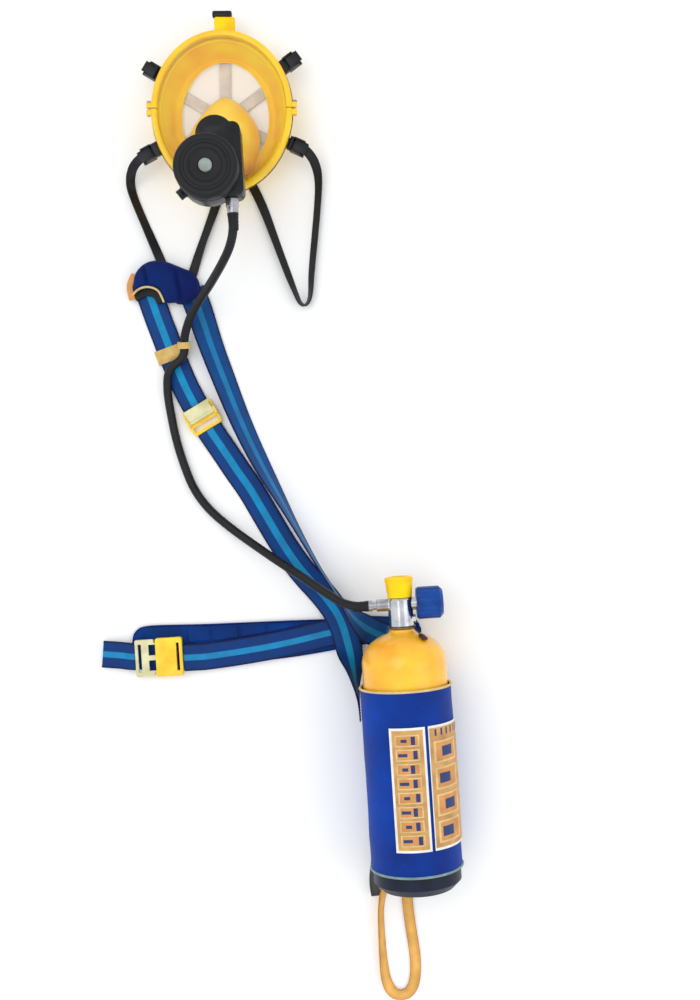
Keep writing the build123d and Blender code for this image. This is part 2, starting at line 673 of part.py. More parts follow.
port_bore = spigot_r + port_fit
exhale_x = -30.0
exhale_y = 462.0
exhale_r = 14.0
with BuildPart() as port_housing:
    for centre, radius, z0, z1 in (((port_x, port_y), port_r, 84, port_z1),
                                   ((port_x, port_y), port_r - 7, 60, 84),
                                   ((exhale_x, exhale_y), exhale_r, 68, 96)):
        with BuildSketch(Plane.XY.offset(z0)):
            with Locations(centre):
                Circle(radius)
        extrude(amount=z1 - z0)
    for centre, radius, z0, z1 in (((port_x, port_y), port_bore, 103.6, port_z1),
                                   ((port_x, port_y), 13, 60, 104),
                                   ((exhale_x, exhale_y), 11.5, 80, 96), ((exhale_x, exhale_y), 8, 68, 80)):
        with BuildSketch(Plane.XY.offset(z0)):
            with Locations(centre):
                Circle(radius)
        extrude(amount=z1 - z0, mode=Mode.SUBTRACT)
save(port_housing.part, "port_housing")

exhale_line = turning_plane((exhale_x, exhale_y, 0), (0, 0, 1), (1, 0, 0))
save(turned(exhale_line, [(0, 80.1), (10.4, 80.1), (10.4, 81.3), (2, 81.3), (2, 84), (0, 84)]), "exhale_disc")
with BuildPart() as exhale_cover:
    with BuildSketch(Plane.XY.offset(92.5)):
        with Locations((exhale_x, exhale_y)):
            Circle(11.45)
            with PolarLocations(7.5, 8):
                Circle(1.9, mode=Mode.SUBTRACT)
    extrude(amount=3)
save(exhale_cover.part, "exhale_cover")

visor_levels = [(ring_z1, *visor_size), (76, visor_size[0] - 3, visor_size[1] - 5, visor_size[2] - 8),
                (92, mask_half - 21, mask_up - 24, mask_down - 32),
                (105, mask_half - 39, mask_up - 42, mask_down - 54),
                (112, mask_half - 63, mask_up - 68, mask_down - 78)]
visor_inner = [(z - (visor_wall if z > 100 else 0), a, b, c) for z, a, b, c in visor_levels]
with BuildPart() as visor:
    add(egg_loft(visor_levels))
    add(egg_loft(visor_inner, visor_wall), mode=Mode.SUBTRACT)
    add(egg_ring(ring_z0, ring_z1, visor_size, visor_wall))
    for centre, radius in (((port_x, port_y), port_r + gap), ((exhale_x, exhale_y), exhale_r + gap)):
        with BuildSketch(Plane.XY.offset(ring_z1)):
            with Locations(centre):
                Circle(radius)
        extrude(amount=60, mode=Mode.SUBTRACT)
save(visor.part, "visor")

ear_x = mask_half + 2.0
screw_r = 1.7
for name, sign in (("frame_upper", 1), ("frame_lower", -1)):
    with BuildPart() as half:
        add(egg_ring(ring_z0, ring_z1, frame_size, 9 - gap))
        with BuildSketch(mask_plane(ring_z0 + 2)):
            with Locations((ear_x, sign * 5), (-ear_x, sign * 5)):
                Rectangle(10, 8)
        extrude(amount=8)
        with BuildSketch(mask_plane(0)):
            with Locations((0, -sign * 150 + sign)):
                Rectangle(400, 300)
        extrude(amount=100, mode=Mode.SUBTRACT)
        with BuildSketch(mask_plane(0) * Plane(origin=(0, 0, ring_z0 + 6), x_dir=(1, 0, 0), z_dir=(0, 1, 0))):
            with Locations((ear_x + 1.5, 0), (-ear_x - 1.5, 0)):
                Circle(screw_r + run_gap)
        extrude(amount=12, both=True, mode=Mode.SUBTRACT)
    save(half.part, name)
with BuildPart() as frame_screws:
    with BuildSketch(mask_plane(0) * Plane(origin=(0, -10, ring_z0 + 6), x_dir=(1, 0, 0), z_dir=(0, 1, 0))):
        with Locations((ear_x + 1.5, 0), (-ear_x - 1.5, 0)):
            Circle(screw_r)
    extrude(amount=19.1)
    with BuildSketch(mask_plane(0) * Plane(origin=(0, 9.1, ring_z0 + 6), x_dir=(1, 0, 0), z_dir=(0, 1, 0))):
        with Locations((ear_x + 1.5, 0), (-ear_x - 1.5, 0)):
            Circle(3)
    extrude(amount=2)
save(frame_screws.part, "frame_screws")

cup_levels = [(14, 44, 78, 31), (38, 38, 62, 31), (62, 27, 36, 28)]
cup_inner = [(z - (2 if z > 60 else 0), *size) for z, *size in cup_levels]
cup_shift = Location((-3, -57, 0))
with BuildPart() as inner_mask:
    add(egg_loft(cup_levels).moved(cup_shift))
    add(egg_loft(cup_inner, 2).moved(cup_shift), mode=Mode.SUBTRACT)
    with BuildSketch(Plane.XY.offset(50)):
        with Locations((port_x, port_y)):
            Circle(port_r - 7 + gap)
    extrude(amount=20, mode=Mode.SUBTRACT)
save(inner_mask.part, "inner_mask")

# ---- mask buckles, their release levers, head harness and neck straps ----
pin_in = 6.0
pin_z = buckle_z + 10.3
with BuildPart() as buckle_bases:
    for spot_xy in buckle_spots:
        seat = Plane(origin=(*spot_xy, buckle_z), x_dir=radial(spot_xy), z_dir=(0, 0, 1))
        with BuildSketch(seat):
            Rectangle(20, 20)
        extrude(amount=5)
        with BuildSketch(seat.offset(5)):
            with Locations((-2, 8.8), (-2, -8.8)):
                Rectangle(16, 2.4)
        extrude(amount=8)
        with BuildSketch(Plane(origin=(*spot_xy, pin_z), x_dir=radial(spot_xy),
                               z_dir=radial(spot_xy).rotate(Axis.Z, 90))):
            with Locations((-pin_in, 0)):
                Circle(1.45)
        extrude(amount=12, both=True, mode=Mode.SUBTRACT)
save(buckle_bases.part, "buckle_bases")

for name, spot_xy in zip(("lever_temple_left", "lever_temple_right", "lever_neck_left", "lever_neck_right"),
                         buckle_spots):
    across = radial(spot_xy).rotate(Axis.Z, 90)
    with BuildPart() as lever:
        with BuildSketch(Plane(origin=(*spot_xy, pin_z - 1.5), x_dir=radial(spot_xy), z_dir=(0, 0, 1))):
            with Locations((2.4, 0)):
                Rectangle(19.2, 14.6)
        extrude(amount=3)
        with BuildSketch(Plane(origin=(*spot_xy, pin_z), x_dir=radial(spot_xy), z_dir=across)):
            with Locations((-pin_in, 0)):
                Circle(1.4)
        extrude(amount=9.8, both=True)
    save(lever.part, name)

with BuildPart() as head_harness:
    with BuildSketch(Plane.XY.offset(0.3)):
        with Locations((mask_x, mask_y)):
            Ellipse(30, 26)
    extrude(amount=3.4)
    for spot_xy in buckle_spots:
        with BuildSketch(Plane(origin=(mask_x, mask_y, 0.3), x_dir=radial(spot_xy), z_dir=(0, 0, 1))):
            with Locations((45, 0)):
                Rectangle(90, 16)
        extrude(amount=3.4)
save(head_harness.part, "head_harness")

left_x, left_y = buckle_spots[2]
right_x, right_y = buckle_spots[3]
left_neck = [(left_x - 7, left_y - 3, 38.5, 0), (left_x - 17, left_y - 9, 37, 0),
             (left_x - 27, left_y - 21, 24, 10),
             (left_x - 31, left_y - 35, 8, 30), (-155, 454, 6, 40),
             (-143, 420, 5.5, 40), (-133, 392, 4, 25), (-121, 358, 1.6, 0), (-111, 330, 1.3, 0),
             (-107, 316, 1.3, 0),
             (-100, 309, 1.3, 0), (-93, 314, 1.3, 0), (-89, 326, 1.3, 0), (-79, 352, 1.6, 0),
             (-65, 387, 5, 35),
             (-50, 421, 4, 25), (-38, 450, 1.6, 0), (-30, 480, 1.3, 0), (-27, 510, 1.3, 0),
             (-27, 533, 1.3, 0)]
save(ribbon(left_neck, strap_w, strap_t), "neck_strap_left")
right_neck = [(right_x + 7, right_y - 3, 38.5, 0), (right_x + 16, right_y - 11, 36, 0),
              (right_x + 23, right_y - 26, 20, -20), (right_x + 24, right_y - 44, 8, -40), (102, 430, 6, -45),
              (95, 385, 6, -45), (87, 335, 6.2, -50), (85, 312, 6.6, -60), (82, 297, 6.8, -66),
              (75, 290, 6.9, -70),
              (68, 295, 6.8, -66), (63, 310, 6.6, -60), (55, 334, 6, -45), (40, 384, 5.4, -40),
              (27, 428, 3.6, -20),
              (17, 455, 1.6, 0), (3, 484, 1.3, 0), (-9, 512, 1.3, 0), (-11, 533, 1.3, 0)]
save(ribbon(right_neck, strap_w, strap_t), "neck_strap_right")

# ---- shoulder pad and shoulder webbing ----
with BuildPart() as shoulder_pad:
    with BuildSketch(Plane.XY.offset(pad_z0)):
        with BuildLine():
            Spline((-169, 322), (-163, 348), (-144, 363), (-122, 364), (-100, 355), (-77, 343), (-70, 322),
                   (-86, 305), (-114, 308), (-142, 303), (-160, 304), periodic=True)
        make_face()
    extrude(amount=pad_z1 - pad_z0)
save(shoulder_pad.part, "shoulder_pad")

lock_x = -80.0
lock_y = 143.0
lock_dir = Vector(15, -29, 0).normalized()
lock_long = 38.0
lock_wide = web_w + 8.0
lock_thick = 6.0
upper_end = Vector(lock_x, lock_y, 0) - lock_dir * (lock_long / 2 + 0.6)
lower_end = Vector(lock_x, lock_y, 0) + lock_dir * (lock_long / 2 + 0.6)
lead_in = upper_end - lock_dir * 8
lead_out = lower_end + lock_dir * 8
upper_path = [(-144, 324, 3.7, 0), (-137, 299, 3.2, 0), (-131, 278, 1.6, 0), (-124, 256, 1.8, 0),
              (-118, 236, 2.6, 0),
              (-112, 217, 1.8, 0), (-103, 191, 1.6, 0),
              (lead_in.X, lead_in.Y, 3.6, 0), (upper_end.X, upper_end.Y, 3.6, 0)]
save(ribbon(upper_path, web_w, web_t), "front_strap_upper")
lower_path = [(lower_end.X, lower_end.Y, 3.6, 0), (lead_out.X, lead_out.Y, 3.6, 0), (-58, 103, 1.8, 0),
              (-48, 86, 1.4, 0), (-36, 65, 1.4, 0),
              (-19, 38, 1.4, 0), (-6, 12, 1.4, 0), (8, -16, 1.4, 0), (22, -43, 1.4, 0), (37, -69, 1.4, 0),
              (54, -93, 1.8, 0), (70, -112, 3.2, 0), (84, -131, 7.5, 0), (94, -148, 11.2, 0),
              (100, -165, 11.3, 0),
              (104, -183, 11.3, 0), (107, -200, 14.5, 15), (109, -218, 24, 45), (111, -236, 36, 72),
              (113.6, -256, 45, 86), (115.6, -272, 51, 90), (115.6, -292, 55, 90)]
save(ribbon(lower_path, web_w, web_t), "front_strap_lower")
rear_path = [(-84, 324, 3.7, 0), (-78, 306, 4, 0), (-72, 286, 8.5, 18), (-60, 240, 11.5, 30),
             (-46, 196, 12.6, 35),
             (-32, 152, 14, 42), (-16, 108, 15.2, 48), (1, 68, 16.8, 55), (21, 26, 18.6, 68),
             (38, -10, 19.6, 78),
             (55, -46, 20, 84), (73, -82, 22, 88), (92, -115, 28, 88), (104, -135, 35, 84),
             (114, -150, 38, 66),
             (126, -163, 30, 35), (141, -175, 16, 3), (156, -182, 10.6, 0)]
save(ribbon(rear_path, web_w, web_t), "rear_strap")

# ---- strap keeper that also holds the hose ----
keeper_x = -118.0
keeper_y = 236.0
keeper_dir = Vector(12, -39, 0).normalized()
clip_dir = (Vector(-98, 228, 14) - Vector(-97, 255, 20)).normalized()
clip_at = Vector(-97.37, 245, 17.8)
with BuildPart() as strap_keeper:
    with BuildSketch(Plane(origin=(keeper_x, keeper_y, 0), x_dir=keeper_dir, z_dir=(0, 0, 1))):
        Rectangle(20, web_w + 6)
    extrude(amount=5.4)
    with BuildSketch(Plane(origin=(-99.5, 243, 0), z_dir=(0, 0, 1))):
        Rectangle(9, 9)
    extrude(amount=13)
    with BuildSketch(Plane(origin=clip_at - clip_dir * 4.5, z_dir=clip_dir)):
        Circle(hose_r + 3.2)
    extrude(amount=9)
    with BuildSketch(Plane(origin=(keeper_x, keeper_y, 1.2), x_dir=keeper_dir, z_dir=(0, 0, 1))):
        Rectangle(30, web_w + 1.2)
    extrude(amount=3.2, mode=Mode.SUBTRACT)
    with BuildSketch(Plane(origin=clip_at - clip_dir * 8, z_dir=clip_dir)):
        Circle(hose_r + 0.6)
    extrude(amount=16, mode=Mode.SUBTRACT)
save(strap_keeper.part, "strap_keeper")

# ---- ladder lock with its tilting cam bar ----
lock_plane = Plane(origin=(lock_x, lock_y, 0.6), x_dir=lock_dir, z_dir=(0, 0, 1))
cam_r = 2.6
with BuildPart() as ladder_lock:
    with BuildSketch(lock_plane):
        RectangleRounded(lock_long, lock_wide, 5)
        with Locations((-11, 0), (11, 0)):
            Rectangle(7, web_w + 1, mode=Mode.SUBTRACT)
    extrude(amount=lock_thick)
    with BuildSketch(lock_plane.offset(lock_thick)):
        with Locations((0, lock_wide / 2 - 1.75), (0, 1.75 - lock_wide / 2)):
            Rectangle(10, 3.5)
    extrude(amount=7)
    with BuildSketch(Plane(origin=(lock_x, lock_y, 0.6 + lock_thick + 3.6), x_dir=(0, 0, 1),
                           z_dir=lock_dir.rotate(Axis.Z, 90))):
        Circle(cam_r - 0.9 + run_gap)
    extrude(amount=lock_wide, both=True, mode=Mode.SUBTRACT)
save(ladder_lock.part, "ladder_lock")
with BuildPart() as lock_cam:
    with BuildSketch(Plane(origin=(lock_x, lock_y, 0.6 + lock_thick + 3.6), x_dir=(0, 0, 1),
                           z_dir=lock_dir.rotate(Axis.Z, 90))):
        Circle(cam_r)
    extrude(amount=lock_wide / 2 - 3.5 - gap, both=True)
    with BuildSketch(Plane(origin=(lock_x, lock_y, 0.6 + lock_thick + 3.6), x_dir=(0, 0, 1),
                           z_dir=lock_dir.rotate(Axis.Z, 90))):
        Circle(cam_r - 0.9)
    extrude(amount=lock_wide / 2 - 0.4, both=True)
    with BuildSketch(lock_plane.offset(lock_thick + 2.4)):
        with Locations((-9, 0)):
            RectangleRounded(18, lock_wide - 7 - 2 * gap, 2.5)
    extrude(amount=2.6)
save(lock_cam.part, "lock_cam")

# ---- waist belt: padded back, strap, two-part buckle ----
with BuildPart() as belt_pad:
    with BuildSketch(Plane.XY):
        with BuildLine():
            Polyline((-200, -160), (-186, -146), (-102, -149), (39, -152), (103, -154), (148.7, -162),
                     (148.7, -190), (102, -196), (35, -204), (-120, -212), (-186, -210), (-200, -203),
                     close=True)
        make_face()
        fillet(vertices(), 5)
    extrude(amount=belt_t)
save(belt_pad.part, "belt_pad")
strap_z = belt_t + gap + web_t / 2
buckle_z0 = belt_t + gap
strap_mid = buckle_z0 + buckle_thick / 2
belt_path = [(buckle_x1 + 0.6, -194, strap_mid, 0), (-124, -194, strap_mid, 0), (-112, -194.5, 8.6, 0),
             (-98, -195, strap_z, 0), (-58, -192, strap_z, 0),
             (-18, -188, strap_z, 0), (20, -183, strap_z, 0), (55, -177, strap_z, 0),
             (82, -172, strap_z + 0.2, 0),
             (108, -170, 8, 0), (135, -171, 8, 0), (165, -174, 8, 0), (200, -176, 8, 0)]
save(ribbon(belt_path, web_w, web_t), "belt_strap")
tail_end = [(-241.6, -182, strap_z, 0), (-226, -184, strap_z, 0), (-210, -186, 9.4, 0),
            (-200, -188, strap_mid, 0), (buckle_x0 - 0.6, -188, strap_mid, 0)]
save(ribbon(tail_end, web_w, web_t), "belt_strap_end")

mouth_x = -166.0
slot_half = buckle_wide / 2 - 6.5
with BuildPart() as buckle_female:
    with BuildSketch(Plane.XY.offset(buckle_z0)):
        with Locations(((mouth_x + buckle_x1) / 2, buckle_y)):
            RectangleRounded(buckle_x1 - mouth_x, buckle_wide, 3)
    extrude(amount=buckle_thick)
    fillet(faces().sort_by(Axis.Z)[-1].edges(), 1.5)
    with BuildSketch(Plane.XY.offset(buckle_z0 + 2.4)):
        with Locations((mouth_x + 13, buckle_y)):
            Rectangle(28, 2 * slot_half + 2 * gap)
    extrude(amount=6.2, mode=Mode.SUBTRACT)
    with BuildSketch(Plane.XY.offset(buckle_z0 - 1)):
        with Locations((buckle_x1 - 6.5, buckle_y)):
            Rectangle(4, web_w + 1)
    extrude(amount=buckle_thick + 2, mode=Mode.SUBTRACT)
save(buckle_female.part, "buckle_female")
with BuildPart() as buckle_male:
    with BuildSketch(Plane.XY.offset(buckle_z0 + 2.4 + gap)):
        with Locations(((buckle_x0 + mouth_x - 2) / 2, buckle_y)):
            RectangleRounded(mouth_x - 2 - buckle_x0, buckle_wide - 2, 2.5)
        with Locations((mouth_x + 9, buckle_y)):
            Rectangle(26, 2 * slot_half)
        with Locations((buckle_x0 + 6.5, buckle_y)):
            Rectangle(4.5, web_w + 1, mode=Mode.SUBTRACT)
        with Locations((mouth_x - 5, buckle_y + 11), (mouth_x - 5, buckle_y - 11)):
            Rectangle(10, 15, mode=Mode.SUBTRACT)
        with Locations((mouth_x + 14, buckle_y + 10.5), (mouth_x + 14, buckle_y - 10.5)):
            Rectangle(16.1, 9, mode=Mode.SUBTRACT)
    extrude(amount=5.6)
save(buckle_male.part, "buckle_male")
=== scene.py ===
import math
import random

import bpy
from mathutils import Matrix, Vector


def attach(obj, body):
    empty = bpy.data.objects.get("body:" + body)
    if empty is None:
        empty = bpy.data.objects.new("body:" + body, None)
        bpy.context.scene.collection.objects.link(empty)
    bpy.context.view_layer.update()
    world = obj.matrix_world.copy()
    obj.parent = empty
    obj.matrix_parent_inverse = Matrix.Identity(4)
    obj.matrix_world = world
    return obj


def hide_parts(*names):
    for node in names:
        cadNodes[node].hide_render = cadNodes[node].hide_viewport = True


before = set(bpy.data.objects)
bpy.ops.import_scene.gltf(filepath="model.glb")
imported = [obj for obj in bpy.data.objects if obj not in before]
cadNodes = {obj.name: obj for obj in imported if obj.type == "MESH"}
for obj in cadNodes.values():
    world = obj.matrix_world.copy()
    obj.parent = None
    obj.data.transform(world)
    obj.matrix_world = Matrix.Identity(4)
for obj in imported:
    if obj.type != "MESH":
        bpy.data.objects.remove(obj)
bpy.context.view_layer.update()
random.seed(11)
mm = 0.001
print("frame loaded:", len(cadNodes), "nodes")

# camera straight above, turned a little, as the set lies on a table
cameraSet = {"place": (0.1210, 0.0128, 1.730), "turn": -3.7, "sensor": 36.0, "lens": 43.884}
bpy.ops.object.camera_add(location=cameraSet["place"], rotation=(0, 0, math.radians(cameraSet["turn"])))
camera = bpy.context.object
camera.data.sensor_fit = "VERTICAL"
camera.data.sensor_height = cameraSet["sensor"]
camera.data.lens = cameraSet["lens"]
bpy.context.scene.camera = camera


# materials
def tone(red, green, blue):
    # a colour as it is named on screen, turned into linear light
    parts = [c / 255 for c in (red, green, blue)]
    return tuple(c / 12.92 if c <= 0.04045 else ((c + 0.055) / 1.055) ** 2.4 for c in parts) + (1.0,)


def newMaterial(name, look):
    material = bpy.data.materials.new(name)
    material.use_nodes = True
    tree = material.node_tree
    shader = tree.nodes["Principled BSDF"]
    for socket, value in look.get("shader", {}).items():
        shader.inputs[socket].default_value = value
    return material, tree.nodes, tree.links, shader


def addNoise(made, wires, spots, scale, detail=4.0):
    noise = made.new("ShaderNodeTexNoise")
    noise.inputs["Scale"].default_value = scale
    noise.inputs["Detail"].default_value = detail
    wires.new(spots, noise.inputs["Vector"])
    return noise.outputs["Fac"]


def addRamp(made, wires, value, stops):
    ramp = made.new("ShaderNodeValToRGB")
    bar = ramp.color_ramp.elements
    while len(bar) < len(stops):
        bar.new(0.5)
    for spot, (place, colour) in zip(bar, stops):
        spot.position = place
        spot.color = colour
    wires.new(value, ramp.inputs["Fac"])
    return ramp.outputs["Color"]


def addRange(made, wires, value, low, high):
    span = made.new("ShaderNodeMapRange")
    span.inputs["From Min"].default_value = 0.3
    span.inputs["From Max"].default_value = 0.7
    span.inputs["To Min"].default_value = low
    span.inputs["To Max"].default_value = high
    wires.new(value, span.inputs["Value"])
    return span.outputs["Result"]


def addBump(made, wires, height, depth, before=None):
    bump = made.new("ShaderNodeBump")
    bump.inputs["Distance"].default_value = depth
    wires.new(height, bump.inputs["Height"])
    if before:
        wires.new(before, bump.inputs["Normal"])
    return bump.outputs["Normal"]


def addMath(made, wires, kind, first, second):
    step = made.new("ShaderNodeMath")
    step.operation = kind
    for socket, value in zip(step.inputs, (first, second)):
        if isinstance(value, (int, float)):
            socket.default_value = value
        else:
            wires.new(value, socket)
    return step.outputs["Value"]


def addWave(made, wires, spots, axis, pitch, wobble=0.0):
    wave = made.new("ShaderNodeTexWave")
    wave.bands_direction = axis
    wave.inputs["Scale"].default_value = math.pi / 10 / pitch
    wave.inputs["Distortion"].default_value = wobble
    wires.new(spots, wave.inputs["Vector"])
    return wave.outputs["Fac"]


def mouldedMaterial(name, look):
    # plastic, rubber or paint: mottled colour, fine grain, uneven gloss
    material, made, wires, shader = newMaterial(name, look)
    spots = made.new("ShaderNodeTexCoord").outputs["Object"]
    mottle = addNoise(made, wires, spots, look["mottle"])
    grain = addNoise(made, wires, spots, look["grain"], 2.0)
    ramp = addRamp(made, wires, mottle, [(0.32, look["dark"]), (0.66, look["light"])])
    wires.new(ramp, shader.inputs["Base Color"])
    wires.new(addRange(made, wires, mottle, *look["rough"]), shader.inputs["Roughness"])
    wires.new(addBump(made, wires, grain, look["depth"]), shader.inputs["Normal"])
    return material


def metalMaterial(name, look):
    # machined metal: fine turning lines and a few dull patches
    material, made, wires, shader = newMaterial(name, look)
    spots = made.new("ShaderNodeTexCoord").outputs["Object"]
    stretch = made.new("ShaderNodeMapping")
    stretch.inputs["Scale"].default_value = look["stretch"]
    wires.new(spots, stretch.inputs["Vector"])
    lines = addNoise(made, wires, stretch.outputs["Vector"], look["grain"], 3.0)
    mottle = addNoise(made, wires, spots, look["mottle"])
    wires.new(addRamp(made, wires, mottle, [(0.3, look["dark"]), (0.65, look["light"])]), shader.inputs["Base Color"])
    wires.new(addRange(made, wires, lines, *look["rough"]), shader.inputs["Roughness"])
    wires.new(addBump(made, wires, lines, look["depth"]), shader.inputs["Normal"])
    return material


def wovenMaterial(name, look):
    # plain weave: warp and weft crossing, with soft fading
    material, made, wires, shader = newMaterial(name, look)
    spots = made.new("ShaderNodeTexCoord").outputs[look.get("spots", "Object")]
    warp = addWave(made, wires, spots, "X", look["pitch"], 0.6)
    weft = addWave(made, wires, spots, "Y", look["pitch"], 0.6)
    weave = addMath(made, wires, "MAXIMUM", warp, weft)
    mottle = addNoise(made, wires, spots, look["mottle"])
    fuzz = addNoise(made, wires, spots, 2400, 2.0)
    shade = addMath(made, wires, "MULTIPLY_ADD", weave, 0.25)
    wires.new(mottle, shade.node.inputs[2])
    stops = [(0.4, look["dark"]), (0.95, look["light"])]
    wires.new(addRamp(made, wires, shade, stops), shader.inputs["Base Color"])
    wires.new(addRange(made, wires, mottle, *look["rough"]), shader.inputs["Roughness"])
    relief = addBump(made, wires, weave, look["depth"])
    wires.new(addBump(made, wires, fuzz, look["depth"] * 0.4, relief), shader.inputs["Normal"])
    return material


def webbingMaterial(name, look):
    # woven strap: stripes follow its width, ribs run across it
    material, made, wires, shader = newMaterial(name, look)
    spots = made.new("ShaderNodeTexCoord").outputs["UV"]
    split = made.new("ShaderNodeSeparateXYZ")
    wires.new(spots, split.inputs["Vector"])
    across = addMath(made, wires, "DIVIDE", split.outputs["Y"], look["wide"])
    colour = addRamp(made, wires, across, look["stripes"])
    ribs = addWave(made, wires, spots, "X", look["pitch"], 0.3)
    threads = addWave(made, wires, spots, "Y", look["pitch"] * 0.8, 0.3)
    mottle = addNoise(made, wires, spots, look["mottle"])
    weave = addMath(made, wires, "MULTIPLY", ribs, threads)
    shade = addMath(made, wires, "MULTIPLY_ADD", weave, 0.22)
    wires.new(addRange(made, wires, mottle, 0.62, 0.95), shade.node.inputs[2])
    mix = made.new("ShaderNodeMix")
    mix.data_type = "RGBA"
    mix.blend_type = "MULTIPLY"
    mix.inputs["Factor"].default_value = 1.0
    wires.new(colour, mix.inputs["A"])
    wires.new(shade, mix.inputs["B"])
    wires.new(mix.outputs["Result"], shader.inputs["Base Color"])
    wires.new(addRange(made, wires, mottle, *look["rough"]), shader.inputs["Roughness"])
    wires.new(addBump(made, wires, weave, look["depth"]), shader.inputs["Normal"])
    return material


def clearMaterial(name, look):
    # clear moulding with faint wipe marks
    material, made, wires, shader = newMaterial(name, look)
    spots = made.new("ShaderNodeTexCoord").outputs["Object"]
    haze = addNoise(made, wires, spots, look["mottle"])
    wires.new(addRange(made, wires, haze, *look["rough"]), shader.inputs["Roughness"])
    wires.new(addRamp(made, wires, haze, [(0.3, look["dark"]), (0.7, look["light"])]), shader.inputs["Base Color"])
    return material


def striped(edge, ground, stripe, half):
    # stripe colours from one edge of a strap to the other
    return [(0.0, edge), (0.05, edge), (0.08, ground), (0.5 - half - 0.02, ground), (0.5 - half, stripe),
            (0.5 + half, stripe), (0.5 + half + 0.02, ground), (0.92, ground), (0.95, edge)]


def shade(dark, light, **look):
    return {"dark": tone(*dark), "light": tone(*light), "shader": {}, **look}


def banded(edge, ground, stripe, half, **look):
    return {"stripes": striped(tone(*edge), tone(*ground), tone(*stripe), half), "shader": {}, **look}


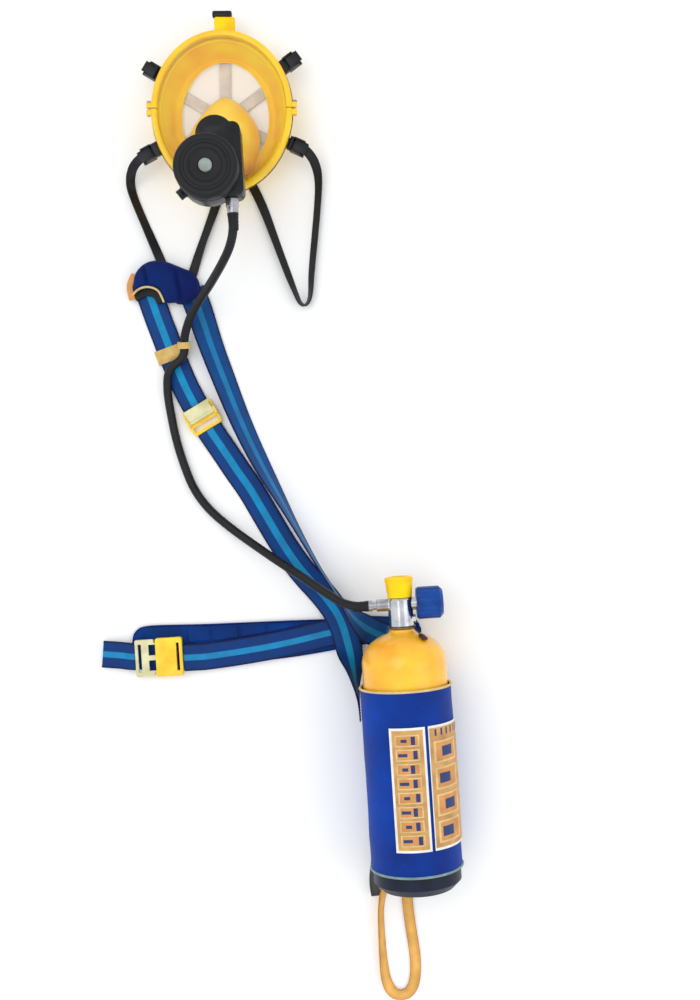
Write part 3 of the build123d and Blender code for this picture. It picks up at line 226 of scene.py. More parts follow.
finishes = {
    "yellowPaint": (mouldedMaterial, shade((246, 168, 12), (252, 200, 36), mottle=18, grain=700, rough=(0.25, 0.4),
        depth=0.00004, shader={"Coat Weight": 0.4, "Coat Roughness": 0.15})),
    "maskYellow": (mouldedMaterial, shade((250, 190, 0), (255, 220, 4), mottle=26, grain=900, rough=(0.34, 0.52),
        depth=0.00005, shader={"Specular IOR Level": 0.25})),
    "frameYellow": (mouldedMaterial, shade((244, 186, 2), (252, 210, 8), mottle=20, grain=1200, rough=(0.26, 0.4),
        depth=0.00003, shader={"Coat Weight": 0.2})),
    # painted light: a lighter copy of the mask yellow, so the inner cup in shade under the visor looks brighter
    "innerYellow": (mouldedMaterial, shade((252, 200, 30), (255, 220, 70), mottle=40, grain=800, rough=(0.4, 0.6),
        depth=0.00005, shader={"Specular IOR Level": 0.25})),
    "blackRubber": (mouldedMaterial, shade((8, 8, 10), (22, 23, 28), mottle=45, grain=1100, rough=(0.42, 0.62),
        depth=0.00006, shader={"Specular IOR Level": 0.3})),
    "blackPlastic": (mouldedMaterial, shade((8, 9, 11), (20, 22, 27), mottle=60, grain=1500, rough=(0.26, 0.42),
        depth=0.00004, shader={"Specular IOR Level": 0.3})),
    "bootBlack": (mouldedMaterial, shade((4, 10, 26), (12, 26, 52), mottle=30, grain=900, rough=(0.35, 0.55),
        depth=0.00006, shader={"Specular IOR Level": 0.3})),
    "wheelBlue": (mouldedMaterial, shade((0, 44, 112), (0, 70, 156), mottle=50, grain=1000, rough=(0.28, 0.42),
        depth=0.00005, shader={"Specular IOR Level": 0.25})),
    "gasketBrown": (mouldedMaterial, shade((72, 56, 20), (104, 84, 32), mottle=60, grain=1100, rough=(0.5, 0.65),
        depth=0.00004)),
    "buttonGrey": (mouldedMaterial, shade((116, 128, 122), (150, 160, 152), mottle=80, grain=1400,
        rough=(0.4, 0.55), depth=0.00004)),
    "keeperTan": (mouldedMaterial, shade((196, 158, 78), (226, 192, 112), mottle=70, grain=1000, rough=(0.4, 0.6),
        depth=0.00006)),
    "palePlastic": (mouldedMaterial, shade((196, 190, 140), (226, 222, 176), mottle=60, grain=1200,
        rough=(0.3, 0.45), depth=0.00004, shader={"Coat Weight": 0.1})),
    "buckleYellow": (mouldedMaterial, shade((240, 188, 16), (255, 216, 44), mottle=50, grain=1200,
        rough=(0.28, 0.42), depth=0.00004, shader={"Coat Weight": 0.15})),
    "tagBrown": (mouldedMaterial, shade((46, 24, 14), (84, 44, 22), mottle=120, grain=1300, rough=(0.35, 0.5),
        depth=0.00005)),
    "dialWhite": (mouldedMaterial, shade((226, 226, 220), (244, 244, 238), mottle=60, grain=2000, rough=(0.4, 0.5),
        depth=0.00001)),
    "needleBlack": (mouldedMaterial, shade((14, 14, 14), (34, 32, 32), mottle=200, grain=2000, rough=(0.35, 0.5),
        depth=0.00001)),
    "chrome": (metalMaterial, shade((170, 171, 176), (214, 215, 220), mottle=60, grain=500, stretch=(1, 1, 6),
        rough=(0.12, 0.26), depth=0.00002, shader={"Metallic": 1.0})),
    "steel": (metalMaterial, shade((138, 140, 146), (186, 188, 194), mottle=70, grain=600, stretch=(6, 1, 1),
        rough=(0.2, 0.36), depth=0.00003, shader={"Metallic": 1.0})),
    "brass": (metalMaterial, shade((160, 128, 66), (206, 174, 100), mottle=80, grain=600, stretch=(1, 6, 1),
        rough=(0.22, 0.36), depth=0.00002, shader={"Metallic": 1.0})),
    "visorClear": (clearMaterial, shade((246, 246, 252), (255, 255, 255), mottle=30, rough=(0.03, 0.09),
        shader={"Alpha": 0.025, "Coat Weight": 1.0, "Coat Roughness": 0.03})),
    "lensClear": (clearMaterial, shade((246, 250, 250), (255, 255, 255), mottle=90, rough=(0.02, 0.06),
        shader={"Alpha": 0.2, "Coat Weight": 1.0, "Coat Roughness": 0.03})),
    "padNavy": (wovenMaterial, shade((4, 10, 78), (0, 48, 118), mottle=14, pitch=0.0012, rough=(0.6, 0.8),
        depth=0.00012, shader={"Specular IOR Level": 0.12, "Sheen Weight": 0.04})),
    "beltBlue": (wovenMaterial, shade((0, 30, 84), (0, 60, 140), mottle=12, pitch=0.0012, rough=(0.6, 0.8),
        depth=0.00012, shader={"Specular IOR Level": 0.15})),
    "pouchBlue": (wovenMaterial, shade((0, 34, 112), (0, 66, 172), mottle=14, pitch=0.0014, rough=(0.55, 0.75),
        depth=0.00014, shader={"Specular IOR Level": 0.15, "Sheen Weight": 0.04})),
    "bindingCream": (wovenMaterial, shade((196, 164, 104), (240, 214, 150), mottle=60, pitch=0.0009,
        rough=(0.6, 0.8), depth=0.0001)),
    "liningTan": (wovenMaterial, shade((188, 122, 62), (226, 164, 96), mottle=60, pitch=0.0009, rough=(0.6, 0.8),
        depth=0.0001)),
    "bindingTeal": (wovenMaterial, shade((92, 124, 132), (140, 168, 168), mottle=60, pitch=0.0009, rough=(0.6, 0.8),
        depth=0.0001)),
    "panelGold": (wovenMaterial, shade((168, 118, 62), (222, 172, 104), mottle=50, pitch=0.0008, rough=(0.45, 0.65),
        depth=0.00005)),
    "printWhite": (wovenMaterial, shade((214, 214, 206), (248, 246, 238), mottle=60, pitch=0.0008, rough=(0.4, 0.6),
        depth=0.00004)),
    "printNavy": (wovenMaterial, shade((14, 34, 84), (30, 58, 120), mottle=60, pitch=0.0008, rough=(0.4, 0.6),
        depth=0.00004)),
    "netPale": (wovenMaterial, shade((196, 190, 186), (238, 234, 230), mottle=60, pitch=0.0022, rough=(0.6, 0.8),
        depth=0.0003)),
    "threadDark": (wovenMaterial, shade((10, 30, 80), (24, 52, 110), mottle=200, pitch=0.0005, rough=(0.6, 0.8),
        depth=0.00005)),
    "webbingFront": (webbingMaterial, banded((0, 24, 78), (0, 66, 138), (16, 150, 206), 0.12, wide=0.038,
        pitch=0.0017, mottle=40, rough=(0.45, 0.65), depth=0.00015,
        shader={"Specular IOR Level": 0.2, "Sheen Weight": 0.03})),
    "webbingRear": (webbingMaterial, banded((0, 26, 76), (0, 72, 138), (24, 122, 178), 0.1, wide=0.038,
        pitch=0.0017, mottle=40, rough=(0.45, 0.65), depth=0.00015,
        shader={"Specular IOR Level": 0.2, "Sheen Weight": 0.03})),
    "webbingBelt": (webbingMaterial, banded((0, 22, 74), (0, 56, 126), (26, 140, 196), 0.1, wide=0.038,
        pitch=0.0017, mottle=40, rough=(0.45, 0.65), depth=0.00015,
        shader={"Specular IOR Level": 0.2, "Sheen Weight": 0.03})),
    "webbingOrange": (webbingMaterial, banded((206, 134, 48), (240, 178, 88), (248, 192, 104), 0.2, wide=0.015,
        pitch=0.0013, mottle=40, rough=(0.5, 0.7), depth=0.00012,
        shader={"Specular IOR Level": 0.2, "Sheen Weight": 0.03})),
    "webbingBlack": (webbingMaterial, banded((18, 18, 22), (34, 34, 40), (44, 44, 52), 0.2, wide=0.014,
        pitch=0.0013, mottle=40, rough=(0.5, 0.7), depth=0.00012)),
    # painted highlight: the lighter edge colour along both edges of the black rubber neck straps
    "strapRubber": (webbingMaterial, banded((40, 40, 44), (12, 12, 15), (20, 20, 24), 0.2, wide=0.013, pitch=0.004,
        mottle=30, rough=(0.32, 0.5), depth=0.0002, shader={"Specular IOR Level": 0.3})),
    "hoseRubber": (mouldedMaterial, shade((8, 8, 10), (22, 22, 26), mottle=50, grain=1400, rough=(0.34, 0.5),
        depth=0.00008, shader={"Specular IOR Level": 0.3})),
}
materials = {name: make(name, look) for name, (make, look) in finishes.items()}
print("materials made:", len(materials))


# helpers for modelling
def only(piece):
    if bpy.context.mode != "OBJECT":
        bpy.ops.object.mode_set(mode="OBJECT")
    bpy.ops.object.select_all(action="DESELECT")
    piece.select_set(True)
    bpy.context.view_layer.objects.active = piece


def addModifier(piece, kind, **settings):
    modifier = piece.modifiers.new(kind.lower(), kind)
    for key, value in settings.items():
        setattr(modifier, key, value)
    return modifier


def addSubdivision(piece, levels=1):
    addModifier(piece, "SUBSURF", levels=levels, render_levels=levels)


def applyAll(piece):
    only(piece)
    for modifier in list(piece.modifiers):
        bpy.ops.object.modifier_apply(modifier=modifier.name)
    bpy.ops.object.transform_apply(location=True, rotation=True, scale=True)


def inEditMode(piece, *steps):
    only(piece)
    bpy.ops.object.mode_set(mode="EDIT")
    bpy.ops.mesh.select_all(action="SELECT")
    for step in steps:
        step()
    bpy.ops.object.mode_set(mode="OBJECT")


def cleanUp():
    bpy.ops.mesh.remove_doubles(threshold=0.00001)
    bpy.ops.mesh.normals_make_consistent(inside=False)


def finishPiece(piece, name, finish, body="set", stands=(), sharp=40):
    applyAll(piece)
    piece.name = name
    piece.data.name = name
    bpy.ops.object.shade_smooth_by_angle(angle=math.radians(sharp))
    piece.data.materials.clear()
    piece.data.materials.append(materials[finish])
    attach(piece, body)
    if stands:
        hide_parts(*stands)
    return piece


def curveThrough(points, kind="NURBS", order=3, closed=False, flat=False):
    curve = bpy.data.curves.new("line", "CURVE")
    curve.dimensions = "2D" if flat else "3D"
    spline = curve.splines.new(kind)
    spline.points.add(len(points) - 1)
    for spot, point in zip(spline.points, points):
        spot.co = (point[0] * mm, point[1] * mm, 0 if flat else point[2] * mm, 1)
        if len(point) > 3:
            spot.tilt = math.radians(-point[3])
    spline.order_u = order
    spline.use_endpoint_u = not closed
    spline.use_cyclic_u = closed
    spline.resolution_u = 10
    curve.resolution_u = 10
    curve.twist_mode = "Z_UP"
    holder = bpy.data.objects.new("line", curve)
    bpy.context.scene.collection.objects.link(holder)
    return holder


def runLength(points):
    return sum(math.dist(a[:3], b[:3]) for a, b in zip(points, points[1:])) * mm


def strapAlong(path, wide, thick, pitch=4.0, across=6):
    # a grid with its own measured UV map, bent along the strap's centre line
    length = runLength(path)
    steps = max(8, round(length / (pitch * mm)))
    bpy.ops.mesh.primitive_grid_add(x_subdivisions=steps, y_subdivisions=across, size=1)
    strap = bpy.context.object
    strap.scale = (length, wide * mm, 1)
    bpy.ops.object.transform_apply(scale=True)
    for corner in strap.data.uv_layers.active.data:
        corner.uv = (corner.uv[0] * length, corner.uv[1] * wide * mm)
    line = curveThrough(path)
    line.data.use_stretch = True
    line.data.use_deform_bounds = True
    addModifier(strap, "CURVE", object=line, deform_axis="POS_X")
    addModifier(strap, "SOLIDIFY", thickness=thick * mm, offset=0, use_even_offset=True)
    addModifier(strap, "BEVEL", width=thick * 0.28 * mm, segments=2, limit_method="ANGLE",
                angle_limit=math.radians(50))
    applyAll(strap)
    bpy.data.objects.remove(line)
    return strap


def asidePath(path, aside, up):
    # the same path moved sideways and outwards on the strap's own face
    moved = []
    for i, (x, y, z, roll) in enumerate(path):
        before, after = path[max(i - 1, 0)], path[min(i + 1, len(path) - 1)]
        along = (Vector(after[:3]) - Vector(before[:3])).normalized()
        side = along.cross(Vector((0, 0, 1))).normalized()
        face = side.cross(along)
        turn = math.radians(roll)
        sideways = side * math.cos(turn) + face * math.sin(turn)
        outwards = face * math.cos(turn) - side * math.sin(turn)
        spot = Vector((x, y, z)) + sideways * aside + outwards * up
        moved.append((*spot, roll))
    return moved


def stitchAlong(path, name, finish, pitch=4.2, size=(2.6, 0.7, 0.5), body="set", closed=False):
    # one rounded stitch repeated along a line
    bpy.ops.mesh.primitive_cube_add(size=1)
    stitch = bpy.context.object
    stitch.scale = [s * mm for s in size]
    bpy.ops.object.transform_apply(scale=True)
    addModifier(stitch, "BEVEL", width=0.2 * mm, segments=1)
    line = curveThrough(path, closed=closed)
    addModifier(stitch, "ARRAY", fit_type="FIT_CURVE", curve=line, use_relative_offset=False,
                use_constant_offset=True,
                constant_offset_displace=(pitch * mm, 0, 0))
    addModifier(stitch, "CURVE", object=line, deform_axis="POS_X")
    applyAll(stitch)
    bpy.data.objects.remove(line)
    return finishPiece(stitch, name, finish, body)


def pipingAlong(path, radius, name, finish, closed=False, stands=()):
    line = curveThrough(path, closed=closed)
    line.data.bevel_depth = radius * mm
    line.data.bevel_resolution = 3
    line.data.use_fill_caps = True
    only(line)
    bpy.ops.object.convert(target="MESH")
    return finishPiece(bpy.context.object, name, finish, stands=stands)


def turnedPiece(profile, centre, along, steps=72):
    # (radius, height) outline in millimetres, swept about its own axis
    line = curveThrough([(r, 0, h) for r, h in profile], kind="POLY", order=2)
    only(line)
    bpy.ops.object.convert(target="MESH")
    piece = bpy.context.object
    addModifier(piece, "SCREW", angle=math.tau, steps=steps, render_steps=steps, use_merge_vertices=True,
                merge_threshold=0.00001, axis="Z")
    applyAll(piece)
    piece.rotation_mode = "QUATERNION"
    piece.rotation_quaternion = Vector(along).to_track_quat("Z", "Y")
    piece.location = [c * mm for c in centre]
    applyAll(piece)
    inEditMode(piece, cleanUp)
    return piece


def softenedCopy(node, width, segments=2, angle=32, flatten=1.0):
    # a copy of a frame piece with its sharp edges rounded
    piece = bpy.data.objects.new(node + "Soft", cadNodes[node].data.copy())
    bpy.context.scene.collection.objects.link(piece)

    def mergeFaces():
        bpy.ops.mesh.remove_doubles(threshold=0.000008)
        bpy.ops.mesh.dissolve_limited(angle_limit=math.radians(flatten))

    inEditMode(piece, mergeFaces)
    addModifier(piece, "BEVEL", width=width * mm, segments=segments, limit_method="ANGLE",
                angle_limit=math.radians(angle), use_clamp_overlap=True)
    return piece


def roundedBlock(place, size, edge, turn=0.0, segments=2):
    bpy.ops.mesh.primitive_cube_add(size=1, location=[c * mm for c in place], rotation=(0, 0, math.radians(turn)))
    block = bpy.context.object
    block.scale = [s * mm for s in size]
    bpy.ops.object.transform_apply(scale=True)
    addModifier(block, "BEVEL", width=edge * mm, segments=segments, limit_method="ANGLE")
    return block


def eggLoft(levels, shape, corners=72):
    # rings drawn up from a circle; the lower half of each is a little longer
    centre = Vector((shape["x"] * mm, shape["y"] * mm, 0))
    z, half, up, down = levels[0]
    bpy.ops.mesh.primitive_circle_add(vertices=corners, radius=1)
    loft = bpy.context.object
    loft.scale = (half * mm, up * mm, 1)
    loft.location = (0, 0, z * mm)
    bpy.ops.object.transform_apply(location=True, scale=True)
    only(loft)
    bpy.ops.object.mode_set(mode="EDIT")
    bpy.ops.mesh.select_all(action="SELECT")
    for (z0, half0, up0, _), (z1, half1, up1, _) in zip(levels, levels[1:]):
        bpy.ops.mesh.extrude_region_move(TRANSFORM_OT_translate={"value": (0, 0, (z1 - z0) * mm)})
        bpy.ops.transform.resize(value=(half1 / half0, up1 / up0, 1), center_override=(0, 0, z1 * mm))
    bpy.ops.object.mode_set(mode="OBJECT")
    vertices = loft.data.vertices
    for i, (_, _, up, down) in enumerate(levels):
        for vertex in vertices[i * corners:(i + 1) * corners]:
            if vertex.co.y < 0:
                vertex.co.y *= down / up
    loft.rotation_euler = (0, 0, math.radians(shape["turn"]))
    loft.location = centre
    applyAll(loft)
    return loft


# stage
bpy.ops.mesh.primitive_plane_add(size=30, location=(0, 0, -0.0006))
floor = bpy.context.object
floor.name = "floor"
floorLook = {"dark": tone(252, 252, 252), "light": tone(254, 254, 254), "mottle": 0.6, "grain": 60,
             "rough": (0.85, 0.95), "depth": 0.000001, "shader": {"Specular IOR Level": 0.2}}
floor.data.materials.append(mouldedMaterial("floorPale", floorLook))

world = bpy.data.worlds.new("studio")
bpy.context.scene.world = world
world.use_nodes = True
world.node_tree.nodes["Background"].inputs["Color"].default_value = (0.97, 0.985, 1.0, 1.0)
world.node_tree.nodes["Background"].inputs["Strength"].default_value = 0.95
lamps = {
    "softTop": {"place": (-0.7, 0.6, 2.4), "power": 13, "size": 1.8},
    "softSide": {"place": (1.9, -0.6, 1.7), "power": 6, "size": 1.6},
    "softBack": {"place": (-0.4, -2.0, 1.6), "power": 4, "size": 1.6},
}
for name, lamp in lamps.items():
    aim = Vector((0, 0, 0)) - Vector(lamp["place"])
    bpy.ops.object.light_add(type="AREA", location=lamp["place"], rotation=aim.to_track_quat("-Z", "Y").to_euler())
    light = bpy.context.object
    light.name = name
    light.data.energy = lamp["power"]
    light.data.size = lamp["size"]
bpy.context.scene.view_settings.view_transform = "Standard"
print("stage made")

# hose
hoseSet = {
    "length": 0.758, "diameter": 0.012, "exit": (0.137, -0.133, 0.070),
    "points": [(137, -133, 70), (111, -133, 70), (83, -114, 66), (52, -91, 55), (16, -66, 37), (-18, -41, 18),
               (-51, -15, 8), (-80, 13, 6.3), (-99, 43, 6.3), (-110, 77, 6.3), (-119, 114, 6.3), (-124, 151, 6.4),
               (-127, 184, 7.8), (-123, 213, 14), (-98, 228, 14), (-97, 255, 20), (-86, 279, 33), (-71, 297, 53),
               (-54, 311, 76), (-40, 323, 100), (-26, 337, 122), (-14, 353, 138), (-7, 374.5, 145), (-7, 394.5, 145)],
}
hose = curveThrough(hoseSet["points"])
hose.name = "hose"
hose.data.name = "hose"
hose.data.bevel_depth = hoseSet["diameter"] / 2
hose.data.bevel_resolution = 5
hose.data.use_fill_caps = True
hose.data.materials.append(materials["hoseRubber"])
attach(hose, "set")
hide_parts("hose_tube")

guardSet = {"profile": [(6.05, 0), (7.4, 0), (7.4, 3), (6.9, 4), (7.2, 5), (6.7, 9), (7.0, 10), (6.5, 14), (6.8, 15),
                        (6.2, 21), (6.05, 22)]}
valveGuard = turnedPiece(guardSet["profile"], hoseSet["points"][0], (-1, 0, 0))
finishPiece(valveGuard, "hoseGuardValve", "blackRubber")
maskGuard = turnedPiece(guardSet["profile"], hoseSet["points"][-1], (0, -1, 0))
finishPiece(maskGuard, "hoseGuardMask", "blackRubber")
print("hose made")

# webbing
strapSet = {
    "frontStrapUpper": {"node": "front_strap_upper", "finish": "webbingFront", "wide": 38, "thick": 1.9, "path": [
        (-144, 324, 3.7, 0), (-137, 299, 3.2, 0), (-131, 278, 1.6, 0), (-124, 256, 1.8, 0), (-118, 236, 2.6, 0),
        (-112, 217, 1.8, 0), (-103, 191, 1.6, 0), (-92.7, 167.5, 3.6, 0), (-89.0, 160.4, 3.6, 0)]},
    "frontStrapLower": {"node": "front_strap_lower", "finish": "webbingFront", "wide": 38, "thick": 1.9, "path": [
        (-71.0, 125.6, 3.6, 0), (-67.3, 118.5, 3.6, 0), (-58, 103, 1.8, 0), (-48, 86, 1.4, 0), (-36, 65, 1.4, 0),
        (-19, 38, 1.4, 0), (-6, 12, 1.4, 0), (8, -16, 1.4, 0), (22, -43, 1.4, 0), (37, -69, 1.4, 0),
        (54, -93, 1.8, 0), (70, -112, 3.2, 0), (84, -131, 7.5, 0), (94, -148, 11.2, 0), (100, -165, 11.3, 0),
        (104, -183, 11.3, 0), (107, -200, 14.5, 15), (109, -218, 24, 45), (111, -236, 36, 72),
        (113.6, -256, 45, 86), (115.6, -272, 51, 90), (115.6, -292, 55, 90)]},
    "rearStrap": {"node": "rear_strap", "finish": "webbingRear", "wide": 38, "thick": 1.9, "path": [
        (-84, 324, 3.7, 0), (-78, 306, 4, 0), (-72, 286, 8.5, 18), (-60, 240, 11.5, 30), (-46, 196, 12.6, 35),
        (-32, 152, 14, 42), (-16, 108, 15.2, 48), (1, 68, 16.8, 55), (21, 26, 18.6, 68), (38, -10, 19.6, 78),
        (55, -46, 20, 84), (73, -82, 22, 88), (92, -115, 28, 88), (104, -135, 35, 84), (114, -150, 38, 66),
        (126, -163, 30, 35), (141, -175, 16, 3), (156, -182, 10.6, 0)]},
    "beltStrap": {"node": "belt_strap", "finish": "webbingBelt", "wide": 38, "thick": 1.9, "path": [
        (-127.4, -194, 11.8, 0), (-124, -194, 11.8, 0), (-112, -194.5, 8.6, 0), (-98, -195, 7.3, 0),
        (-58, -192, 7.3, 0), (-18, -188, 7.3, 0), (20, -183, 7.3, 0), (55, -177, 7.3, 0), (82, -172, 7.5, 0),
        (108, -170, 8, 0), (135, -171, 8, 0), (165, -174, 8, 0), (200, -176, 8, 0)]},
    "beltStrapEnd": {"node": "belt_strap_end", "finish": "webbingBelt", "wide": 38, "thick": 1.9, "path": [
        (-241.6, -182, 7.3, 0), (-226, -184, 7.3, 0), (-210, -186, 9.4, 0), (-200, -188, 11.8, 0),
        (-195.6, -188, 11.8, 0)]},
    "baseLoop": {"node": "base_loop", "finish": "webbingOrange", "wide": 15, "thick": 1.7, "path": [
        (156, -475.8, 3, 0), (154, -484, 3, 0), (149, -502, 4, 10), (136, -530, 7, 40), (127, -562, 8.5, 60),
        (126, -600, 8, 56), (126, -642, 7, 45), (128, -670, 5, 28), (136, -688, 3.5, 10), (150, -693.3, 2.5, 0),
        (163, -687, 2, 0), (170, -669, 2, 0), (172, -640, 2, 0), (168, -600, 2, 0), (165, -560, 2.2, 0),
        (167, -520, 2.6, 0), (173, -492, 3, 0), (175, -475.8, 3, 0)]},
    "strapTail": {"node": None, "finish": "webbingBlack", "wide": 14, "thick": 2.1, "path": [
        (122.5, -465, 38.9, -62), (122.5, -490, 38.9, -62), (120, -512, 30, -40), (120, -532, 17, -20),
        (122, -547, 8, -5)]},
    "neckStrapLeft": {"node": "neck_strap_left", "finish": "strapRubber", "wide": 13, "thick": 1.8, "path": [
        (-136, 506, 38.5, 0), (-146, 500, 37, 0), (-156, 488, 24, 10), (-160, 474, 8, 30), (-155, 454, 6, 40),
        (-143, 420, 5.5, 40), (-133, 392, 4, 25), (-121, 358, 1.6, 0), (-111, 330, 1.3, 0), (-107, 316, 1.3, 0),
        (-100, 309, 1.3, 0), (-93, 314, 1.3, 0), (-89, 326, 1.3, 0), (-79, 352, 1.6, 0), (-65, 387, 5, 35),
        (-50, 421, 4, 25), (-38, 450, 1.6, 0), (-30, 480, 1.3, 0), (-27, 510, 1.3, 0), (-27, 533, 1.3, 0)]},
    "neckStrapRight": {"node": "neck_strap_right", "finish": "strapRubber", "wide": 13, "thick": 1.8, "path": [
        (89, 503, 38.5, 0), (98, 495, 36, 0), (105, 480, 20, -20), (106, 462, 8, -40), (102, 430, 6, -45),
        (95, 385, 6, -45), (87, 335, 6.2, -50), (85, 312, 6.6, -60), (82, 297, 6.8, -66), (75, 290, 6.9, -70),
        (68, 295, 6.8, -66), (63, 310, 6.6, -60), (55, 334, 6, -45), (40, 384, 5.4, -40), (27, 428, 3.6, -20),
        (17, 455, 1.6, 0), (3, 484, 1.3, 0), (-9, 512, 1.3, 0), (-11, 533, 1.3, 0)]},
}
strapBodies = {"beltStrapEnd": "belt_plug"}
for name, strap in strapSet.items():
    piece = strapAlong(strap["path"], strap["wide"], strap["thick"])
    finishPiece(piece, name, strap["finish"], strapBodies.get(name, "set"),
                (strap["node"],) if strap["node"] else (), sharp=50)
    if strap["wide"] == 38:
        for side, aside in (("A", 17), ("B", -17)):
            stitchAlong(asidePath(strap["path"], aside, 1.05), name + "Stitch" + side, "threadDark",
                        body=strapBodies.get(name, "set"))
print("webbing made")

# padded pieces
def padFromOutline(look, smooth=False):
    kind, order = ("NURBS", 3) if smooth else ("POLY", 2)
    shape = curveThrough(look["outline"], kind=kind, order=order, closed=True, flat=True)
    shape.data.fill_mode = "BOTH"
    shape.data.extrude = (look["high"] - look["low"]) / 2 * mm
    shape.location.z = (look["high"] + look["low"]) / 2 * mm
    only(shape)
    bpy.ops.object.convert(target="MESH")
    pad = bpy.context.object
    applyAll(pad)
    return pad


def puff(pad, look):
    # an even mesh first, then air pressure swells it, held to a small rise
    addModifier(pad, "REMESH", mode="VOXEL", voxel_size=look["voxel"] * mm)
    applyAll(pad)
    before = [v.co.copy() for v in pad.data.vertices]
    cloth = addModifier(pad, "CLOTH")
    cloth.settings.use_pressure = True
    cloth.settings.uniform_pressure_force = look["pressure"]
    cloth.settings.effector_weights.gravity = 0
    cloth.point_cache.frame_start, cloth.point_cache.frame_end = 1, 20
    for step in range(1, 21):
        bpy.context.scene.frame_set(step)
    only(pad)
    bpy.ops.object.modifier_apply(modifier=cloth.name)
    bpy.context.scene.frame_set(1)
    for vertex, start in zip(pad.data.vertices, before):
        shift = vertex.co - start
        shift.x, shift.y = shift.x * look["sideways"], shift.y * look["sideways"]
        vertex.co = start + shift
        if shift.length > look["cap"] * mm:
            vertex.co = start + shift.normalized() * look["cap"] * mm
    addSubdivision(pad)
    applyAll(pad)
    return pad


def nearLine(spot, start, end):
    along = end - start
    share = max(0.0, min(1.0, (spot - start).dot(along) / along.length_squared))
    return (spot - (start + along * share)).length


def pressSeams(pad, look):
    # sewn channels: both faces are drawn towards the middle along each line
    lines = [(Vector(a) * mm, Vector(b) * mm) for a, b in look["seams"]]
    wide = look["seamWide"] * mm
    for vertex in pad.data.vertices:
        flat = Vector(vertex.co[:2])
        near = min(nearLine(flat, a, b) for a, b in lines)
        if near < 3 * wide:
            pull = look["press"] * math.exp(-(near / wide) ** 2)
            vertex.co.z += (look["middle"] * mm - vertex.co.z) * pull


def holdLevels(pad, look, covered=None):
    # keeps the pad on what it rests on, and below what lies on it
    for vertex in pad.data.vertices:
        high = look["beneath"] if covered and covered(vertex.co / mm) else look["top"]
        vertex.co.z = min(max(vertex.co.z, look["bottom"] * mm), high * mm)


shoulderSet = {"low": 5.8, "high": 19.5, "voxel": 3.5, "pressure": 4.0, "cap": 4.5, "sideways": 0.15, "outline": [
    (-163, 322), (-165, 339), (-157, 355), (-142, 366), (-120, 366), (-100, 356), (-76, 345), (-69, 322), (-86, 304),
    (-106, 307), (-121, 307), (-124, 317), (-129, 327), (-144, 332), (-158, 329)],
    "seams": [((-148, 366), (-136, 300)), ((-104, 360), (-96, 302))], "middle": 12.5, "press": 0.5, "seamWide": 3.0,
    "bottom": 5.0, "top": 24.0}
shoulderPad = puff(padFromOutline(shoulderSet, True), shoulderSet)
pressSeams(shoulderPad, shoulderSet)
holdLevels(shoulderPad, shoulderSet)
finishPiece(shoulderPad, "shoulderPad", "padNavy", stands=("shoulder_pad",), sharp=70)

beltSet = {"low": 0.8, "high": 5.3, "voxel": 2.5, "pressure": 3.0, "cap": 3.2, "sideways": 0.1, "outline": [
    (-199, -164), (-194, -154), (-184, -147.5), (-150, -148), (-102, -150.5), (-30, -152), (39, -153.5),
    (103, -155.5), (140, -161), (147, -166), (147, -186), (140, -190), (102, -194.5), (35, -202.5), (-40, -206.5),
    (-120, -210.5), (-184, -208.5), (-195, -205), (-199, -198)],
    "seams": [((x, -146), (x + 4, -214)) for x in range(-168, 113, 40)], "middle": 3.0, "press": 0.45,
    "seamWide": 2.0,
    "centre": [(-127, -194), (-58, -192), (-18, -188), (20, -183), (55, -177), (82, -172), (148, -171)],
    "strapHalf": 21, "buckleEnd": -120, "bottom": 0.1, "top": 9.0, "beneath": 5.9}
beltPad = puff(padFromOutline(beltSet), beltSet)
pressSeams(beltPad, beltSet)


def beneathBelt(spot):
    centre = [Vector(point) for point in beltSet["centre"]]
    away = min(nearLine(Vector(spot[:2]), a, b) for a, b in zip(centre, centre[1:]))
    return away < beltSet["strapHalf"] or spot[0] < beltSet["buckleEnd"]


holdLevels(beltPad, beltSet, beneathBelt)
finishPiece(beltPad, "beltPad", "beltBlue", stands=("belt_pad",), sharp=70)

panelSet = {"low": 0.6, "high": 5.6, "voxel": 3.0, "pressure": 2.0, "cap": 0.9, "sideways": 0.1, "outline": [
    (153, -470), (160, -474), (200, -474), (207, -470), (210, -462), (210, -172), (206, -163), (198, -159),
    (162, -159), (154, -163), (150, -172), (150, -462)],
    "seams": [((150, y), (210, y)) for y in range(-420, -199, 55)], "middle": 3.0, "press": 0.4, "seamWide": 2.2,
    "bottom": 0.1, "top": 5.9}
backPanel = puff(padFromOutline(panelSet), panelSet)
pressSeams(backPanel, panelSet)
holdLevels(backPanel, panelSet)
finishPiece(backPanel, "backPanel", "padNavy", stands=("back_panel",), sharp=70)

# the folded end of the shoulder pad: tan lining, a black strip as painted shade in the mouth, and a pale piped edge
# over the strap
mouthSet = {"piping": [(-165, 320, 17), (-158, 327.5, 19), (-144, 330.5, 20), (-130, 325.5, 20), (-125, 317, 19),
                       (-122, 307, 17)],
            "shade": [(-164, 316, 8, 0), (-156, 322, 8, 0), (-144, 325, 8, 0), (-132, 320, 8, 0), (-126, 308, 8, 0)],
            "lining": [(-161, 349, 15, 0), (-168, 339, 14, 0), (-170, 327, 12.5, 0), (-167, 314, 10, 0)]}
pipingAlong(mouthSet["piping"], 1.5, "shoulderPiping", "bindingCream")
